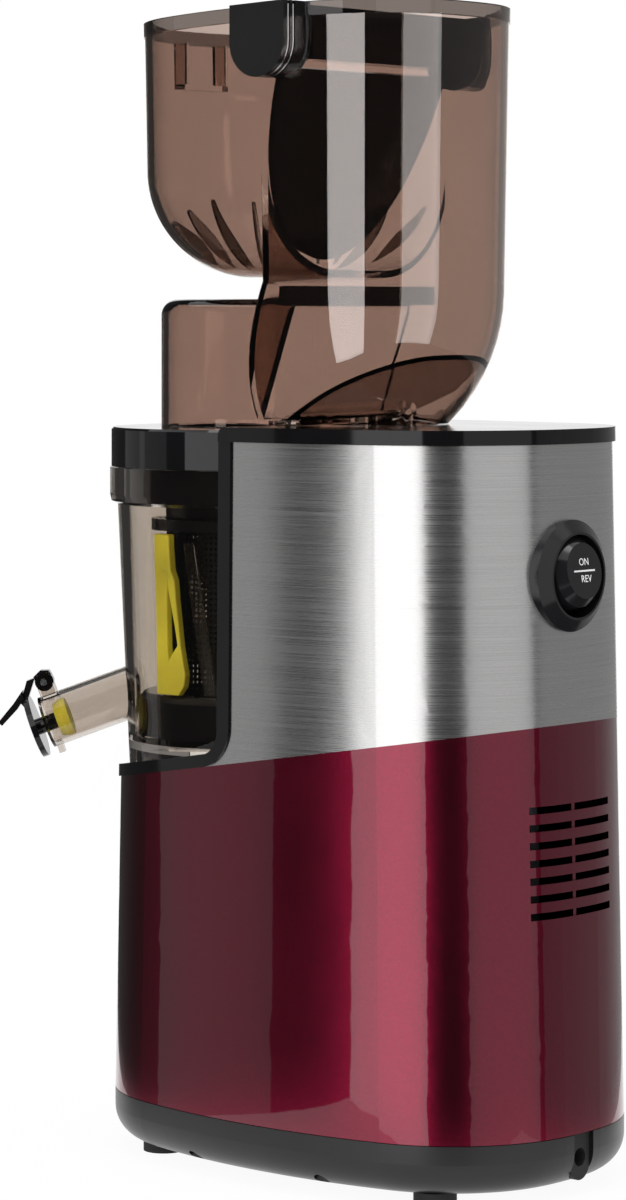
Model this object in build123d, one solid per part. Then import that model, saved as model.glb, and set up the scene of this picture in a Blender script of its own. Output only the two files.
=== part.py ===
from build123d import *

import os
from math import acos, atan2, cos, pi, radians, sin, sqrt, tan

# Cold press juicer.  Millimetres, +Z up, -Y the bowl side, +Y the switch side.
# The origin is on the table, at the centre of the whole footprint box.

# ---- driving dimensions: body ----
body_length = 236.0
body_width = 157.0
body_end_share = 0.955
body_side_share = 1.246
body_corner_share = 0.42
front_draft = 1.3
back_draft = 1.2
side_draft = 0.6
foot_height = 4.4
foot_radius = 9.0
foot_x = 46.0
foot_y = 76.0
tray_height = 22.0
tray_round = 14.0
tray_wall = 2.8
seam_gap = 0.3
shell_wall = 2.8
slope = 0.158
slope_height = 177.3
plate_rise = 2.2
plate_thickness = 6.2
plate_overhang = 1.5
steel_gauge = 1.2
skin_gap = 0.1
core_wall = 2.5
base_screw_radius = 1.8
base_post_radius = 5.5
base_screw_y = 35.0
grip_recess_y = -47.0

# ---- bezel frame and platform ----
bezel_proud = 1.0
bezel_front = -17.0
bezel_depth = 7.0
bezel_corner = 18.0
bezel_inner_corner = 10.0
platform_thickness = 5.3
recess_gap = 2.3
recess_wall = 2.5
pocket_gap = 1.9
pocket_floor = 166.4
pocket_wall = 3.0
plate_corner = 4.0

# ---- bowl ----
bowl_y = -64.5
bowl_lift_gap = 0.4
bowl_foot_radius = 55.1
bowl_top_radius = 60.3
bowl_wall = 3.0
bowl_floor = 3.5
bowl_skirt = 6.7
bowl_height = 142.4
rim_radius = 63.7
rim_drop = 28.2
rim_depth = 16.2
ledge_step = 2.0
ledge_rise = 2.0
spout_azimuth = 40.0
spout_droop = 20.0
spout_reach = 92.0
spout_height = 183.4
spout_radius = 11.5
spout_bore = 9.6
pulp_radius = 14.0
pulp_bore = 11.8
pulp_reach = 78.0
pulp_height = 188.0
bowl_seal_radius = 12.0
cap_pin_radius = 1.5
cap_pin_rise = 17.5
cap_pin_back = 5.5
cap_disc_radius = 14.0

# ---- lid and hopper ----
lid_radius = 63.1
lid_rise = 5.6
lid_disc = 3.0
feed_radius = 38.5
hopper_wall = 3.0
partition = 1.6
throat_bar_width = 100.0
throat_bar_height = 8.0
throat_bar_depth = 5.0
dome_radius = 41.0
dome_height = 56.2
dome_round = 7.0
tub_length = 161.0
tub_width = 131.0
tub_end_share = 1.366
tub_side_share = 1.093
tub_corner_share = 0.412
tub_y = -22.5
tub_draft = 1.0
rim_rise = 179.0
rim_slope = 0.037
rim_band = 6.0
belly_round = 47.0
belly_rise = 65.6
chamber_round = 80.0
chamber_rise = 58.8
chamber_gap = 0.3
neck_y = -4.0
throat_y = -27.0
ramp_low_y = -15.0
ramp_slope = 0.458

# ---- gate ----
hinge_y = 3.3
hinge_drop = 15.2
boss_radius = 15.0
boss_outer_x = 75.0
boss_inner_x = 57.0
gate_tilt = 18.0
gate_half_width = 55.0
gate_floor_gap = 0.7
gate_shoulder = 3.0
gate_top = 10.0
gate_thickness = 3.0
gate_pin_radius = 2.5

# ---- switch, vents and inlet ----
switch_x = 3.6
switch_z = 256.4
switch_radius = 23.2
switch_bore = 17.2
switch_edge = 1.4
switch_proud = 5.0
switch_depth = 14.4
rocker_radius = 16.2
rocker_face_radius = 11.6
rocker_proud = 2.8
rocker_pivot_depth = 8.9
rocker_rest_tilt = 8.0
vent_rows = 7
vent_pitch = 7.24
vent_low = 117.7
vent_width = 52.0
vent_height = 3.0
vent_rib = 2.0
vent_rib_recess = 1.2
vent_x = 2.4
notch_width = 13.0
notch_low = 6.4
gland_hole = 3.8
board_z = 38.4
board_y = 55.0
board_length = 62.0
board_width = 44.0
board_post_radius = 3.0

# ---- drive train ----
pressure_angle = 25.0
gear_backlash = 0.16
stage_teeth = ((14, 56), (14, 49), (15, 36))
stage_module = (1.0, 1.25, 1.5)
gearbox_low = 98.0
gearbox_height = 51.0
gearbox_radius = 37.0
gearbox_wall = 3.0
gearbox_post = 6.0
gearbox_screw = 2.0
gearbox_bite = 12.0
cover_thickness = 4.0
axle_radius = 3.0
running_clearance = 0.05
shaft_radius = 6.0
hex_across = 11.0
hex_gap = 0.2
hex_top = 184.0
motor_radius = 36.0
motor_height = 87.0
motor_wall = 2.0
motor_shaft = 4.0
motor_bolt = 2.0
seal_radius = 13.0

# ---- auger, strainer and wiper ----
auger_radius = 35.6
auger_core = 21.0
auger_low = 191.0
auger_top_drop = 4.0
auger_twist = 420.0
journal_radius = 9.0
strainer_radius = 39.6
mesh_gauge = 0.6
strainer_low = 188.2
strainer_band = 7.8
strainer_top_drop = 7.0
strainer_upstand = 21.0
upstand_wall = 2.5
wheel_module = 1.0
sun_teeth = 26
idler_teeth = 14
wheel_low = 179.5
wheel_width = 6.5
idler_pin = 2.5
wiper_radius = 45.3
wiper_low = 177.4
wiper_step = 187.5
wiper_rim = 198.6
wiper_skirt = 50.9
wiper_top_drop = 8.0
blade_reach = 51.0
blade_width = 14.0
blade_count = 3
blade_turn = -7.0

# ---- shared values worked out from the driving ones ----
FAR = 400.0
seam_z = foot_height + tray_height
bezel_back = bezel_front + bezel_depth
recess_radius = rim_radius + recess_gap
bowl_low = pocket_floor + bowl_lift_gap
bowl_top = bowl_low + bowl_height
rim_low = bowl_top - rim_drop
rim_high = rim_low + rim_depth
ledge_z = rim_low + ledge_rise
strainer_top = ledge_z - strainer_top_drop
wiper_top = ledge_z - wiper_top_drop
auger_high = ledge_z - auger_top_drop
lid_top = bowl_top + lid_rise
tower_top = lid_top + plate_rise
plate_low = tower_top - plate_thickness
dome_top = lid_top + dome_height
rim_height = lid_top + rim_rise
belly_bottom = lid_top + belly_rise
chamber_start = lid_top + chamber_rise
chamber_floor = tower_top + chamber_gap
hinge_z = rim_height - hinge_drop
gate_drop = hinge_z - belly_bottom - hopper_wall - gate_floor_gap
body_radii = (body_end_share * body_width, body_side_share * body_length, body_corner_share * body_width)
tub_radii = (tub_end_share * tub_width, tub_side_share * tub_length, tub_corner_share * tub_width)
bowl_inside_z = bowl_low + bowl_skirt + bowl_floor
ring_teeth = sun_teeth + 2 * idler_teeth
nodes = {}


def oval(length, width, radii, inset, centre_y, z):
    """Oval face at height z, of eight tangent arcs: two ends, two sides and four corners."""
    end, side, corner = radii
    end_y, side_x = length / 2 - end, width / 2 - side
    apart = sqrt(end_y**2 + side_x**2)
    along = (apart**2 + (end - corner) ** 2 - (side - corner) ** 2) / (2 * apart)
    across = sqrt((end - corner) ** 2 - along**2)
    corner_x = (side_x * along - end_y * across) / apart
    corner_y = end_y - (end_y * along + side_x * across) / apart
    end_turn = atan2(corner_y - end_y, corner_x)
    side_turn = atan2(corner_y, corner_x - side_x)
    arcs = []
    for half in (0, pi):
        sign = cos(half)
        arcs.append((sign * side_x, 0, side, half - side_turn, half + side_turn))
        arcs.append((sign * corner_x, sign * corner_y, corner, half + side_turn, half + end_turn))
        arcs.append((0, sign * end_y, end, half + end_turn, half + pi - end_turn))
        arcs.append((-sign * corner_x, sign * corner_y, corner, half + pi - end_turn, half + pi - side_turn))
    edges = []
    for x, y, radius, start, stop in arcs:
        turns = (start, (start + stop) / 2, stop)
        reach = radius - inset
        edges.append(ThreePointArc(*[(x + reach * cos(t), centre_y + y + reach * sin(t), z) for t in turns]))
    return make_face(edges)


def body_outline(z, inset):
    """Plan of the body at height z, moved in by inset; front, back and sides lean by their own drafts."""
    front_lean, back_lean, side_lean = [
        (z - seam_z) * tan(radians(draft)) for draft in (front_draft, back_draft, side_draft)
    ]
    length = body_length - front_lean - back_lean + 2 * side_lean
    return oval(length, body_width, body_radii, inset + side_lean, (front_lean - back_lean) / 2, z)


def body_back(z):
    """Y of the body's back wall at height z."""
    return body_length / 2 - (z - seam_z) * tan(radians(back_draft))


def body_blank(inset, low, high):
    return loft([body_outline(low, inset), body_outline(high, inset)], ruled=True)


def side_prism(corners):
    """Prism right across the width, from (y, z) corners."""
    face = make_face(Polyline(*[(0, y, z) for y, z in corners], close=True))
    return extrude(face, FAR, dir=(1, 0, 0), both=True)


def slope_z(y, lift=0.0):
    """Height of the slanted parting plane at y."""
    return slope_height + slope * y + lift


def above_slope(lift=0.0):
    low_line = [(-FAR, slope_z(-FAR, lift)), (FAR, slope_z(FAR, lift))]
    return side_prism(low_line + [(FAR, 2 * FAR), (-FAR, 2 * FAR)])


def front_space(back_y, lift, corner):
    """Space in front of the tower: above the slanted plane and before back_y, one corner rounded."""
    low_corner = (0, back_y, slope_z(back_y, lift))
    points = [low_corner, (0, back_y, 2 * FAR), (0, -FAR, 2 * FAR), (0, -FAR, slope_z(-FAR, lift))]
    face = make_face(Polyline(*points, close=True))
    nearest = face.vertices().sort_by_distance(low_corner)[0]
    return extrude(fillet(nearest, corner), FAR, dir=(1, 0, 0), both=True)


def rod(radius, low, high, x=0.0, y=0.0):
    """Upright cylinder."""
    return Pos(x, y, (low + high) / 2) * Cylinder(radius, high - low)


def collar(outer, inner, low, high, x=0.0, y=0.0):
    """Upright ring."""
    return rod(outer, low, high, x, y) - rod(inner, low - 1, high + 1, x, y)


def block(size_x, size_y, low, high, x=0.0, y=0.0):
    return Pos(x, y, (low + high) / 2) * Box(size_x, size_y, high - low)


def turned(profile, y=bowl_y):
    """Solid of revolution about the upright axis at y, from (radius, z) corners."""
    face = make_face(Polyline(*[(r, 0, z) for r, z in profile], close=True))
    return Pos(0, y, 0) * revolve(face, Axis.Z)


def stadium(radius, y_low, y_high, low, high):
    """Upright slab with round ends."""
    return (
        rod(radius, low, high, y=y_low)
        + rod(radius, low, high, y=y_high)
        + block(2 * radius, y_high - y_low, low, high, y=(y_low + y_high) / 2)
    )


def thumb(radius, back_y, low, high):
    """Upright slab, round in front about the bowl's axis and square behind."""
    depth = back_y - bowl_y
    return rod(radius, low, high, y=bowl_y) + block(2 * radius, depth, low, high, y=bowl_y + depth / 2)


def involute(angle):
    return tan(angle) - angle


def gear_prism(teeth, module, low, width, tooth_at, tip=0.95, root=1.2, play=gear_backlash):
    """Spur gear blank with involute flanks; one tooth points along tooth_at degrees."""
    pitch = teeth * module / 2
    base = pitch * cos(radians(pressure_angle))
    root_radius = pitch - root * module
    tip_radius = pitch + tip * module
    half_tooth = pi / (2 * teeth) - play / (2 * pitch) + involute(radians(pressure_angle))
    flank = []
    for radius in (root_radius, max(base, root_radius + 0.05), pitch, tip_radius):
        rolled = involute(acos(min(1.0, base / radius)))
        flank.append((radius, half_tooth - rolled))
    points = []
    for tooth in range(teeth):
        middle = radians(tooth_at) + 2 * pi * tooth / teeth
        outline = [(r, middle - a) for r, a in flank] + [(r, middle + a) for r, a in reversed(flank)]
        points += [(r * cos(a), r * sin(a), low) for r, a in outline]
    return extrude(make_face(Polyline(*points, close=True)), width, dir=(0, 0, 1))


# ---- body: base tray, feet, shells, frame and top plate ----


def build_body():
    tray_low = foot_height
    tray_top = seam_z - seam_gap
    corners = [(sx * foot_x, sy * foot_y) for sx in (-1, 1) for sy in (-1, 1)]
    screw_x = body_width / 2 - shell_wall - base_post_radius - 0.7
    screw_spots = [(sx * screw_x, sy * base_screw_y) for sx in (-1, 1) for sy in (-1, 1)]
    head_radius = base_screw_radius + 1.6
    head_low = tray_low + 5.6
    head_high = head_low + 3.0
    screw_top = seam_z + 20.0
    boss_top = seam_z + 24.0

    def rounded_tray(inset, low, radius):
        """Upright block of the body's plan with a rounded bottom edge."""
        plan = extrude(body_outline(seam_z, inset), tray_top + 1 - low, dir=(0, 0, -1))
        plan = Pos(0, 0, tray_top + 1 - seam_z) * plan
        return fillet(plan.edges().group_by(Axis.Z)[0], radius)

    outer = rounded_tray(0.0, tray_low, tray_round)
    inner = rounded_tray(tray_wall, tray_low + tray_wall, tray_round - tray_wall)
    tray = outer - inner
    for x, y in screw_spots:
        tray += rod(base_post_radius, tray_low + tray_wall, tray_top + 1, x, y) & outer
    for x, y in gearbox_screw_spots():
        tray += rod(gearbox_post, tray_low + tray_wall, gearbox_low, x, y)
    for x, y in board_posts():
        tray += rod(board_post_radius, tray_low + tray_wall, board_z, x, y)
    tray -= block(FAR, 2 * FAR, tray_top, tray_top + 20) - union_of(
        [rod(gearbox_post, 0, FAR, x, y) for x, y in gearbox_screw_spots()]
        + [rod(board_post_radius, 0, FAR, x, y) for x, y in board_posts()]
    )
    for x, y in screw_spots:
        tray -= rod(base_screw_radius, 0, FAR, x, y) + rod(head_radius, 0, head_high, x, y)
    for x, y in gearbox_screw_spots():
        tray -= rod(gearbox_screw, gearbox_low - gearbox_bite, FAR, x, y)
    notch_depth = 16.0
    notch_y = body_back(seam_z) - notch_depth / 2
    notch_round = notch_low + notch_width / 2
    notch = block(notch_width, notch_depth + 12, notch_round, seam_z + 5, y=notch_y + 6)
    notch += Pos(0, notch_y + 6, notch_round) * Rot(90, 0, 0) * Cylinder(notch_width / 2, notch_depth + 12)
    tray -= notch
    recess_depth, recess_length, recess_height = 2.1, 10.0, 7.0
    recess_low = seam_z - 15.5
    recess_top = recess_low + recess_height
    recess_x = body_width / 2 + recess_depth
    tray -= block(4 * recess_depth, recess_length, recess_low, recess_top, recess_x, grip_recess_y)
    nodes["base_tray"] = tray

    gland_depth = 7.0
    gland_y = body_back(seam_z) - tray_wall - gland_depth / 2 + 0.5
    gland = block(notch_width, gland_depth, notch_round, tray_top, y=gland_y)
    gland += Pos(0, gland_y, notch_round) * Rot(90, 0, 0) * Cylinder(notch_width / 2, gland_depth)
    gland -= Pos(0, gland_y, notch_round + 3.0) * Rot(90, 0, 0) * Cylinder(gland_hole, 3 * gland_depth)
    nodes["cord_inlet"] = gland

    nodes["rubber_feet"] = Compound([rod(foot_radius, 0, foot_height, x, y) for x, y in corners])

    screws = []
    for x, y in screw_spots:
        shank = rod(base_screw_radius, head_low, screw_top, x, y)
        screws.append(rod(head_radius, head_low, head_high, x, y) + shank)
    nodes["base_screws"] = Compound(screws)

    top = slope_z(body_length) + 10
    shell = body_blank(0.0, seam_z, top) - body_blank(shell_wall, seam_z, top)
    inside = body_blank(shell_wall / 2, seam_z, boss_top)
    for x, y in screw_spots:
        post = rod(base_post_radius, seam_z, boss_top, x, y) & inside
        shell += post - rod(base_screw_radius, seam_z, screw_top, x, y)
    shell -= above_slope()
    slot = (vent_width - vent_rib) / 2
    for row in range(vent_rows):
        z = vent_low + row * vent_pitch
        low, high = z - vent_height / 2, z + vent_height / 2
        for side in (-1, 1):
            x = vent_x + side * (vent_rib + slot) / 2
            shell -= block(slot, 30, low, high, x, body_back(z))
        shell -= block(vent_rib + 1, 2 * vent_rib_recess, low, high, vent_x, body_back(z))
    nodes["lower_shell"] = shell

    in_front = front_space(bezel_back, 0.0, bezel_corner)
    switch_hole = Pos(switch_x, body_back(switch_z), switch_z) * Rot(90, 0, 0) * Cylinder(switch_radius, 40)
    tower_low = slope_z(-FAR / 4)
    wrap = body_blank(0.0, tower_low, plate_low) - body_blank(steel_gauge, tower_low, plate_low)
    nodes["steel_wrap"] = (wrap & above_slope()) - in_front - switch_hole
    core_inset = steel_gauge + skin_gap
    core = body_blank(core_inset, tower_low, plate_low)
    core -= body_blank(core_inset + core_wall, tower_low, plate_low)
    nodes["tower_core"] = (core & above_slope()) - in_front - switch_hole

    behind_front = block(FAR, FAR, 0, FAR, y=bezel_front + FAR / 2)
    recess = rod(recess_radius, 0, 2 * FAR, y=bowl_y)
    plate = body_blank(-plate_overhang, plate_low, tower_top) & behind_front
    plate -= recess
    front_edges = plate.edges().filter_by(Axis.X).group_by(Axis.Z)[-1]
    nodes["top_plate"] = fillet(front_edges, plate_corner)

    blank = body_blank(-bezel_proud, seam_z, plate_low)
    frame_part = in_front - front_space(bezel_front, platform_thickness, bezel_inner_corner)
    above_platform = above_slope(platform_thickness)
    outer_radius = recess_radius + recess_wall
    floor_disc = (rod(outer_radius, 100, FAR, y=bowl_y) & above_slope()) - above_platform
    wall = collar(outer_radius, recess_radius, 100, FAR, y=bowl_y) & above_slope() & behind_front
    pocket_radius = bowl_foot_radius + pocket_gap
    cup = rod(pocket_radius + pocket_wall, pocket_floor - pocket_wall, FAR, y=bowl_y) - above_platform
    liner = (frame_part + floor_disc + wall + cup) & blank
    liner -= recess & above_platform
    liner -= rod(pocket_radius, pocket_floor, FAR, y=bowl_y)
    liner -= rod(seal_radius, 0, FAR, y=bowl_y)
    nodes["bezel_liner"] = liner


def union_of(solids):
    whole = solids[0]
    for solid in solids[1:]:
        whole += solid
    return whole


# ---- round rocker switch ----


def build_switch():
    wall_y = body_back(switch_z)
    face_y = wall_y + switch_proud
    back_y = wall_y - switch_depth
    pivot_y = wall_y - rocker_pivot_depth
    lying = Rot(90, 0, 0)

    def across(radius, y_low, y_high):
        return Pos(switch_x, (y_low + y_high) / 2, switch_z) * lying * Cylinder(radius, y_high - y_low)

    def turned_across(profile):
        """Solid turned about the switch's own axis, from (radius, y) corners."""
        face = make_face(Polyline(*[(r, y, 0) for r, y in profile], close=True))
        return Pos(switch_x, 0, switch_z) * revolve(face, Axis.Y)

    crest = switch_bore + 1.0
    ring = [(0, back_y), (switch_radius, back_y), (switch_radius, wall_y + switch_edge)]
    ring += [(crest, face_y), (0, face_y)]
    bezel = turned_across(ring) - across(switch_bore, back_y - 1, face_y + 1)
    pin_radius = 1.6
    pin_reach = switch_bore + 2.4
    pivot = Pos(switch_x, pivot_y, switch_z)
    sideways = Rot(0, 90, 0)
    pin_hole = pivot * sideways * Cylinder(pin_radius + running_clearance, 2 * pin_reach + 0.4)
    nodes["switch_bezel"] = bezel - pin_hole

    straight = pivot_y + 6.0
    crown = face_y + rocker_proud
    skirt = pivot_y + 2
    waist = (rocker_radius - 1.4, face_y - 1.0)
    side = [(0, skirt), (rocker_radius, skirt), (rocker_radius, straight), waist]
    side += [(rocker_face_radius, crown), (0, crown)]
    button = turned_across(side)
    stem = across(4.0, pivot_y - 1.5, pivot_y + 3)
    pins = pivot * sideways * Cylinder(pin_radius, 2 * pin_reach)
    pins -= pivot * Box(2 * rocker_radius - 8, 20, 20)
    ears = union_of([pivot * Pos(s * (rocker_radius - 3), 1, 0) * Box(5, 5, 5) for s in (-1, 1)])
    upright = button + stem + ears + pins
    nodes["rocker_button"] = pivot * Rot(rocker_rest_tilt, 0, 0) * (pivot.inverse() * upright)

    body_depth = 11.0
    flange = across(switch_radius, back_y - 1.5, back_y)
    box = Pos(switch_x, back_y - 1.5 - body_depth / 2, switch_z) * Box(28, body_depth, 34)
    nodes["switch_body"] = flange + box


# ---- gearbox, motor and electrics ----

output_y = bowl_y
distances = [m * (a + b) / 2 for (a, b), m in zip(stage_teeth, stage_module)]
second_y = output_y + distances[2]
first_y = second_y + distances[1]
motor_y = first_y + distances[0]
gearbox_floor = gearbox_low + gearbox_wall
gearbox_top = gearbox_low + gearbox_height
cover_top = gearbox_top + cover_thickness


def gearbox_screw_spots():
    x = gearbox_radius + gearbox_post - 1.5
    return [(s * x, y) for s in (-1, 1) for y in (second_y - 14, first_y + 17)]


def board_posts():
    x = board_width / 2 - 4
    y = board_length / 2 - 4
    return [(sx * x, board_y + sy * y) for sx in (-1, 1) for sy in (-1, 1)]


def build_drive():
    inner = gearbox_radius - gearbox_wall
    gear_lows = (gearbox_low + 6, gearbox_low + 20, gearbox_low + 34)
    gear_widths = (8.0, 10.0, 14.0)
    lower_journal = 4.0
    bearing_width = 5.0
    lower_bearing = 8.0
    upper_bearing = 11.0
    boss_height = 8.0

    housing = stadium(gearbox_radius, output_y, motor_y, gearbox_low, gearbox_top)
    housing -= stadium(inner, output_y, motor_y, gearbox_floor, gearbox_top + 1)
    cavity = stadium(inner, output_y, motor_y, gearbox_floor, gearbox_top + 1)
    for x, y in gearbox_screw_spots():
        housing += rod(gearbox_post, gearbox_low, gearbox_top, x, y) - cavity
    for y in (first_y, second_y):
        housing += rod(axle_radius + 3, gearbox_floor - 1, gear_lows[0] - 0.3, y=y)
    bearing_top = gearbox_floor + bearing_width
    housing += collar(lower_bearing + 3, lower_bearing, gearbox_floor - 1, bearing_top, y=output_y)
    for x, y in gearbox_screw_spots():
        housing -= rod(gearbox_screw, 0, FAR, x, y)
    nodes["gearbox_housing"] = housing

    cover = stadium(gearbox_radius, output_y, motor_y, gearbox_top, cover_top)
    for x, y in gearbox_screw_spots():
        cover += rod(gearbox_post, gearbox_top, cover_top, x, y)
        cover -= rod(gearbox_screw, 0, FAR, x, y)
    cover += rod(upper_bearing + 3, gearbox_top, gearbox_top + boss_height, y=output_y)
    cover -= rod(upper_bearing, 0, FAR, y=output_y)
    cover -= rod(motor_shaft + 2, 0, FAR, y=motor_y)
    for x in motor_bolt_spots():
        cover -= rod(motor_bolt, 0, FAR, x, motor_y)
    nodes["gearbox_cover"] = cover

    screws = []
    for x, y in gearbox_screw_spots():
        shank = rod(gearbox_screw, gearbox_low - gearbox_bite, cover_top + 1, x, y)
        screws.append(shank + rod(gearbox_screw + 1.7, cover_top, cover_top + 3, x, y))
    nodes["gearbox_screws"] = Compound(screws)

    axle_base = gear_lows[0] - 0.3
    axles = [rod(axle_radius, axle_base, gearbox_top, y=y) for y in (first_y, second_y)]
    nodes["gear_axles"] = Compound(axles)

    toward_output, toward_motor = -90.0, 90.0
    bore = axle_radius + running_clearance

    def gap_at(direction, teeth):
        return direction + 180.0 / teeth

    wheel, pinion = stage_teeth[0][1], stage_teeth[1][0]
    first = gear_prism(wheel, stage_module[0], gear_lows[0], gear_widths[0], gap_at(toward_motor, wheel))
    reach = gear_lows[1] + gear_widths[1] - gear_lows[0] - gear_widths[0]
    first += gear_prism(pinion, stage_module[1], gear_lows[0] + gear_widths[0], reach, toward_output)
    nodes["first_gear"] = Pos(0, first_y, 0) * (first - rod(bore, 0, FAR))

    wheel, pinion = stage_teeth[1][1], stage_teeth[2][0]
    second = gear_prism(wheel, stage_module[1], gear_lows[1], gear_widths[1], gap_at(toward_motor, wheel))
    reach = gear_lows[2] + gear_widths[2] - gear_lows[1] - gear_widths[1]
    second += gear_prism(pinion, stage_module[2], gear_lows[1] + gear_widths[1], reach, toward_output)
    second += rod(axle_radius + 3, gear_lows[0], gear_lows[1])
    nodes["second_gear"] = Pos(0, second_y, 0) * (second - rod(bore, 0, FAR))

    wheel = stage_teeth[2][1]
    hex_low = bowl_low + 1.5
    output = gear_prism(wheel, stage_module[2], gear_lows[2], gear_widths[2], gap_at(toward_motor, wheel))
    output += rod(lower_journal, gearbox_floor, gear_lows[2]) + rod(shaft_radius, gear_lows[2], hex_low)
    hexagon = Pos(0, 0, hex_low) * RegularPolygon(hex_across / 2, 6, major_radius=False)
    output += extrude(hexagon, hex_top - hex_low)
    nodes["output_gear"] = Pos(0, output_y, 0) * output

    lower_bore = lower_journal + running_clearance
    shaft_bore = shaft_radius + running_clearance
    boss_top = gearbox_top + boss_height
    seal_top = pocket_floor + 1.2
    nodes["lower_bearing"] = collar(lower_bearing, lower_bore, gearbox_floor, bearing_top, y=output_y)
    nodes["upper_bearing"] = collar(upper_bearing, shaft_bore, gearbox_top + 0.5, boss_top, y=output_y)
    nodes["shaft_seal"] = collar(seal_radius, shaft_bore, pocket_floor - pocket_wall, seal_top, y=output_y)


def motor_bolt_spots():
    x = motor_radius - motor_wall - 4.0
    return [-x, x]


def build_motor():
    low = cover_top
    high = low + motor_height
    plate = 3.0
    stator_low = low + 13
    stator_high = high - 14
    air_gap = 0.5
    stator_bore = 21.0
    bolts = union_of([rod(motor_bolt, 0, FAR, x, motor_y) for x in motor_bolt_spots()])

    can = rod(motor_radius, low, high, y=motor_y)
    can -= rod(motor_radius - motor_wall, low + plate, high - plate, y=motor_y)
    can -= rod(motor_shaft + running_clearance, 0, FAR, y=motor_y) + bolts
    nodes["motor_can"] = can
    stator = collar(motor_radius - motor_wall, stator_bore, stator_low, stator_high, y=motor_y)
    nodes["motor_stator"] = stator - bolts

    teeth = stage_teeth[0][0]
    rotor_low = gearbox_low + 5.5
    rotor = gear_prism(teeth, stage_module[0], rotor_low, 9.0, -90.0)
    rotor += rod(motor_shaft, rotor_low, high + 18)
    rotor += rod(stator_bore - air_gap, stator_low + 2, stator_high - 2)
    nodes["motor_rotor"] = Pos(0, motor_y, 0) * rotor

    fan_low = high + 3.5
    fan_high = fan_low + 13
    blades = 9
    fan = rod(9.0, fan_low, fan_high) + rod(20.0, fan_low, fan_low + 2)
    for blade in range(blades):
        turn = 360.0 * blade / blades
        vane = Pos(20.5, 0, (fan_low + fan_high) / 2) * Rot(24, 0, 0) * Box(25, 1.8, fan_high - fan_low - 1)
        fan += Rot(0, 0, turn) * vane
    nodes["cooling_fan"] = Pos(0, motor_y, 0) * (fan - rod(motor_shaft, 0, FAR))

    heads = []
    for x in motor_bolt_spots():
        shank = rod(motor_bolt, gearbox_top, high, x, motor_y)
        heads.append(shank + rod(motor_bolt + 1.5, high, high + 2.5, x, motor_y))
    nodes["motor_bolts"] = Compound(heads)


def build_electrics():
    board_thickness = 1.6
    top = board_z + board_thickness
    board = block(board_width, board_length, board_z, top, y=board_y)
    board += block(16, 12, top, top + 9, -9, board_y - 22) + block(14, 8, top, top + 6, 10, board_y - 22)
    board += block(10, 20, top, top + 12, -14, board_y + 14) + block(8, 6, top, top + 3, 13, board_y + 24)
    nodes["control_board"] = board
    nodes["run_capacitor"] = rod(11.0, top, top + 36, 9, board_y + 4)


# ---- bowl with its spouts ----


def spout_plane(azimuth, reach, height, droop):
    """Plane at a spout's mouth: z along the flow, y up and across it."""
    a, d = radians(azimuth), radians(droop)
    flow = Vector(sin(a) * cos(d), -cos(a) * cos(d), -sin(d))
    side = Vector(cos(a), sin(a), 0)
    mouth = Vector(sin(a) * reach, bowl_y - cos(a) * reach, height)
    return Plane(origin=mouth, x_dir=side, z_dir=flow)


juice_plane = spout_plane(spout_azimuth, spout_reach, spout_height, spout_droop)
pulp_plane = spout_plane(-spout_azimuth, pulp_reach, pulp_height, spout_droop)


def tube_piece(plane, radius, back, front):
    """Cylinder along a spout's flow, measured from its mouth."""
    return plane * Pos(0, 0, (back + front) / 2) * Cylinder(radius, front - back)


def bowl_cavity():
    """Space inside the bowl, down to its floor."""
    low, high = bowl_inside_z, bowl_top
    wide = bowl_top_radius - bowl_wall
    foot = bowl_foot_radius - bowl_wall + 0.4
    corners = [(0, low), (foot - 3, low), (foot, low + 3), (wide - ledge_step, ledge_z)]
    return turned(corners + [(wide, ledge_z), (wide, high + 1), (0, high + 1)])


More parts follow.
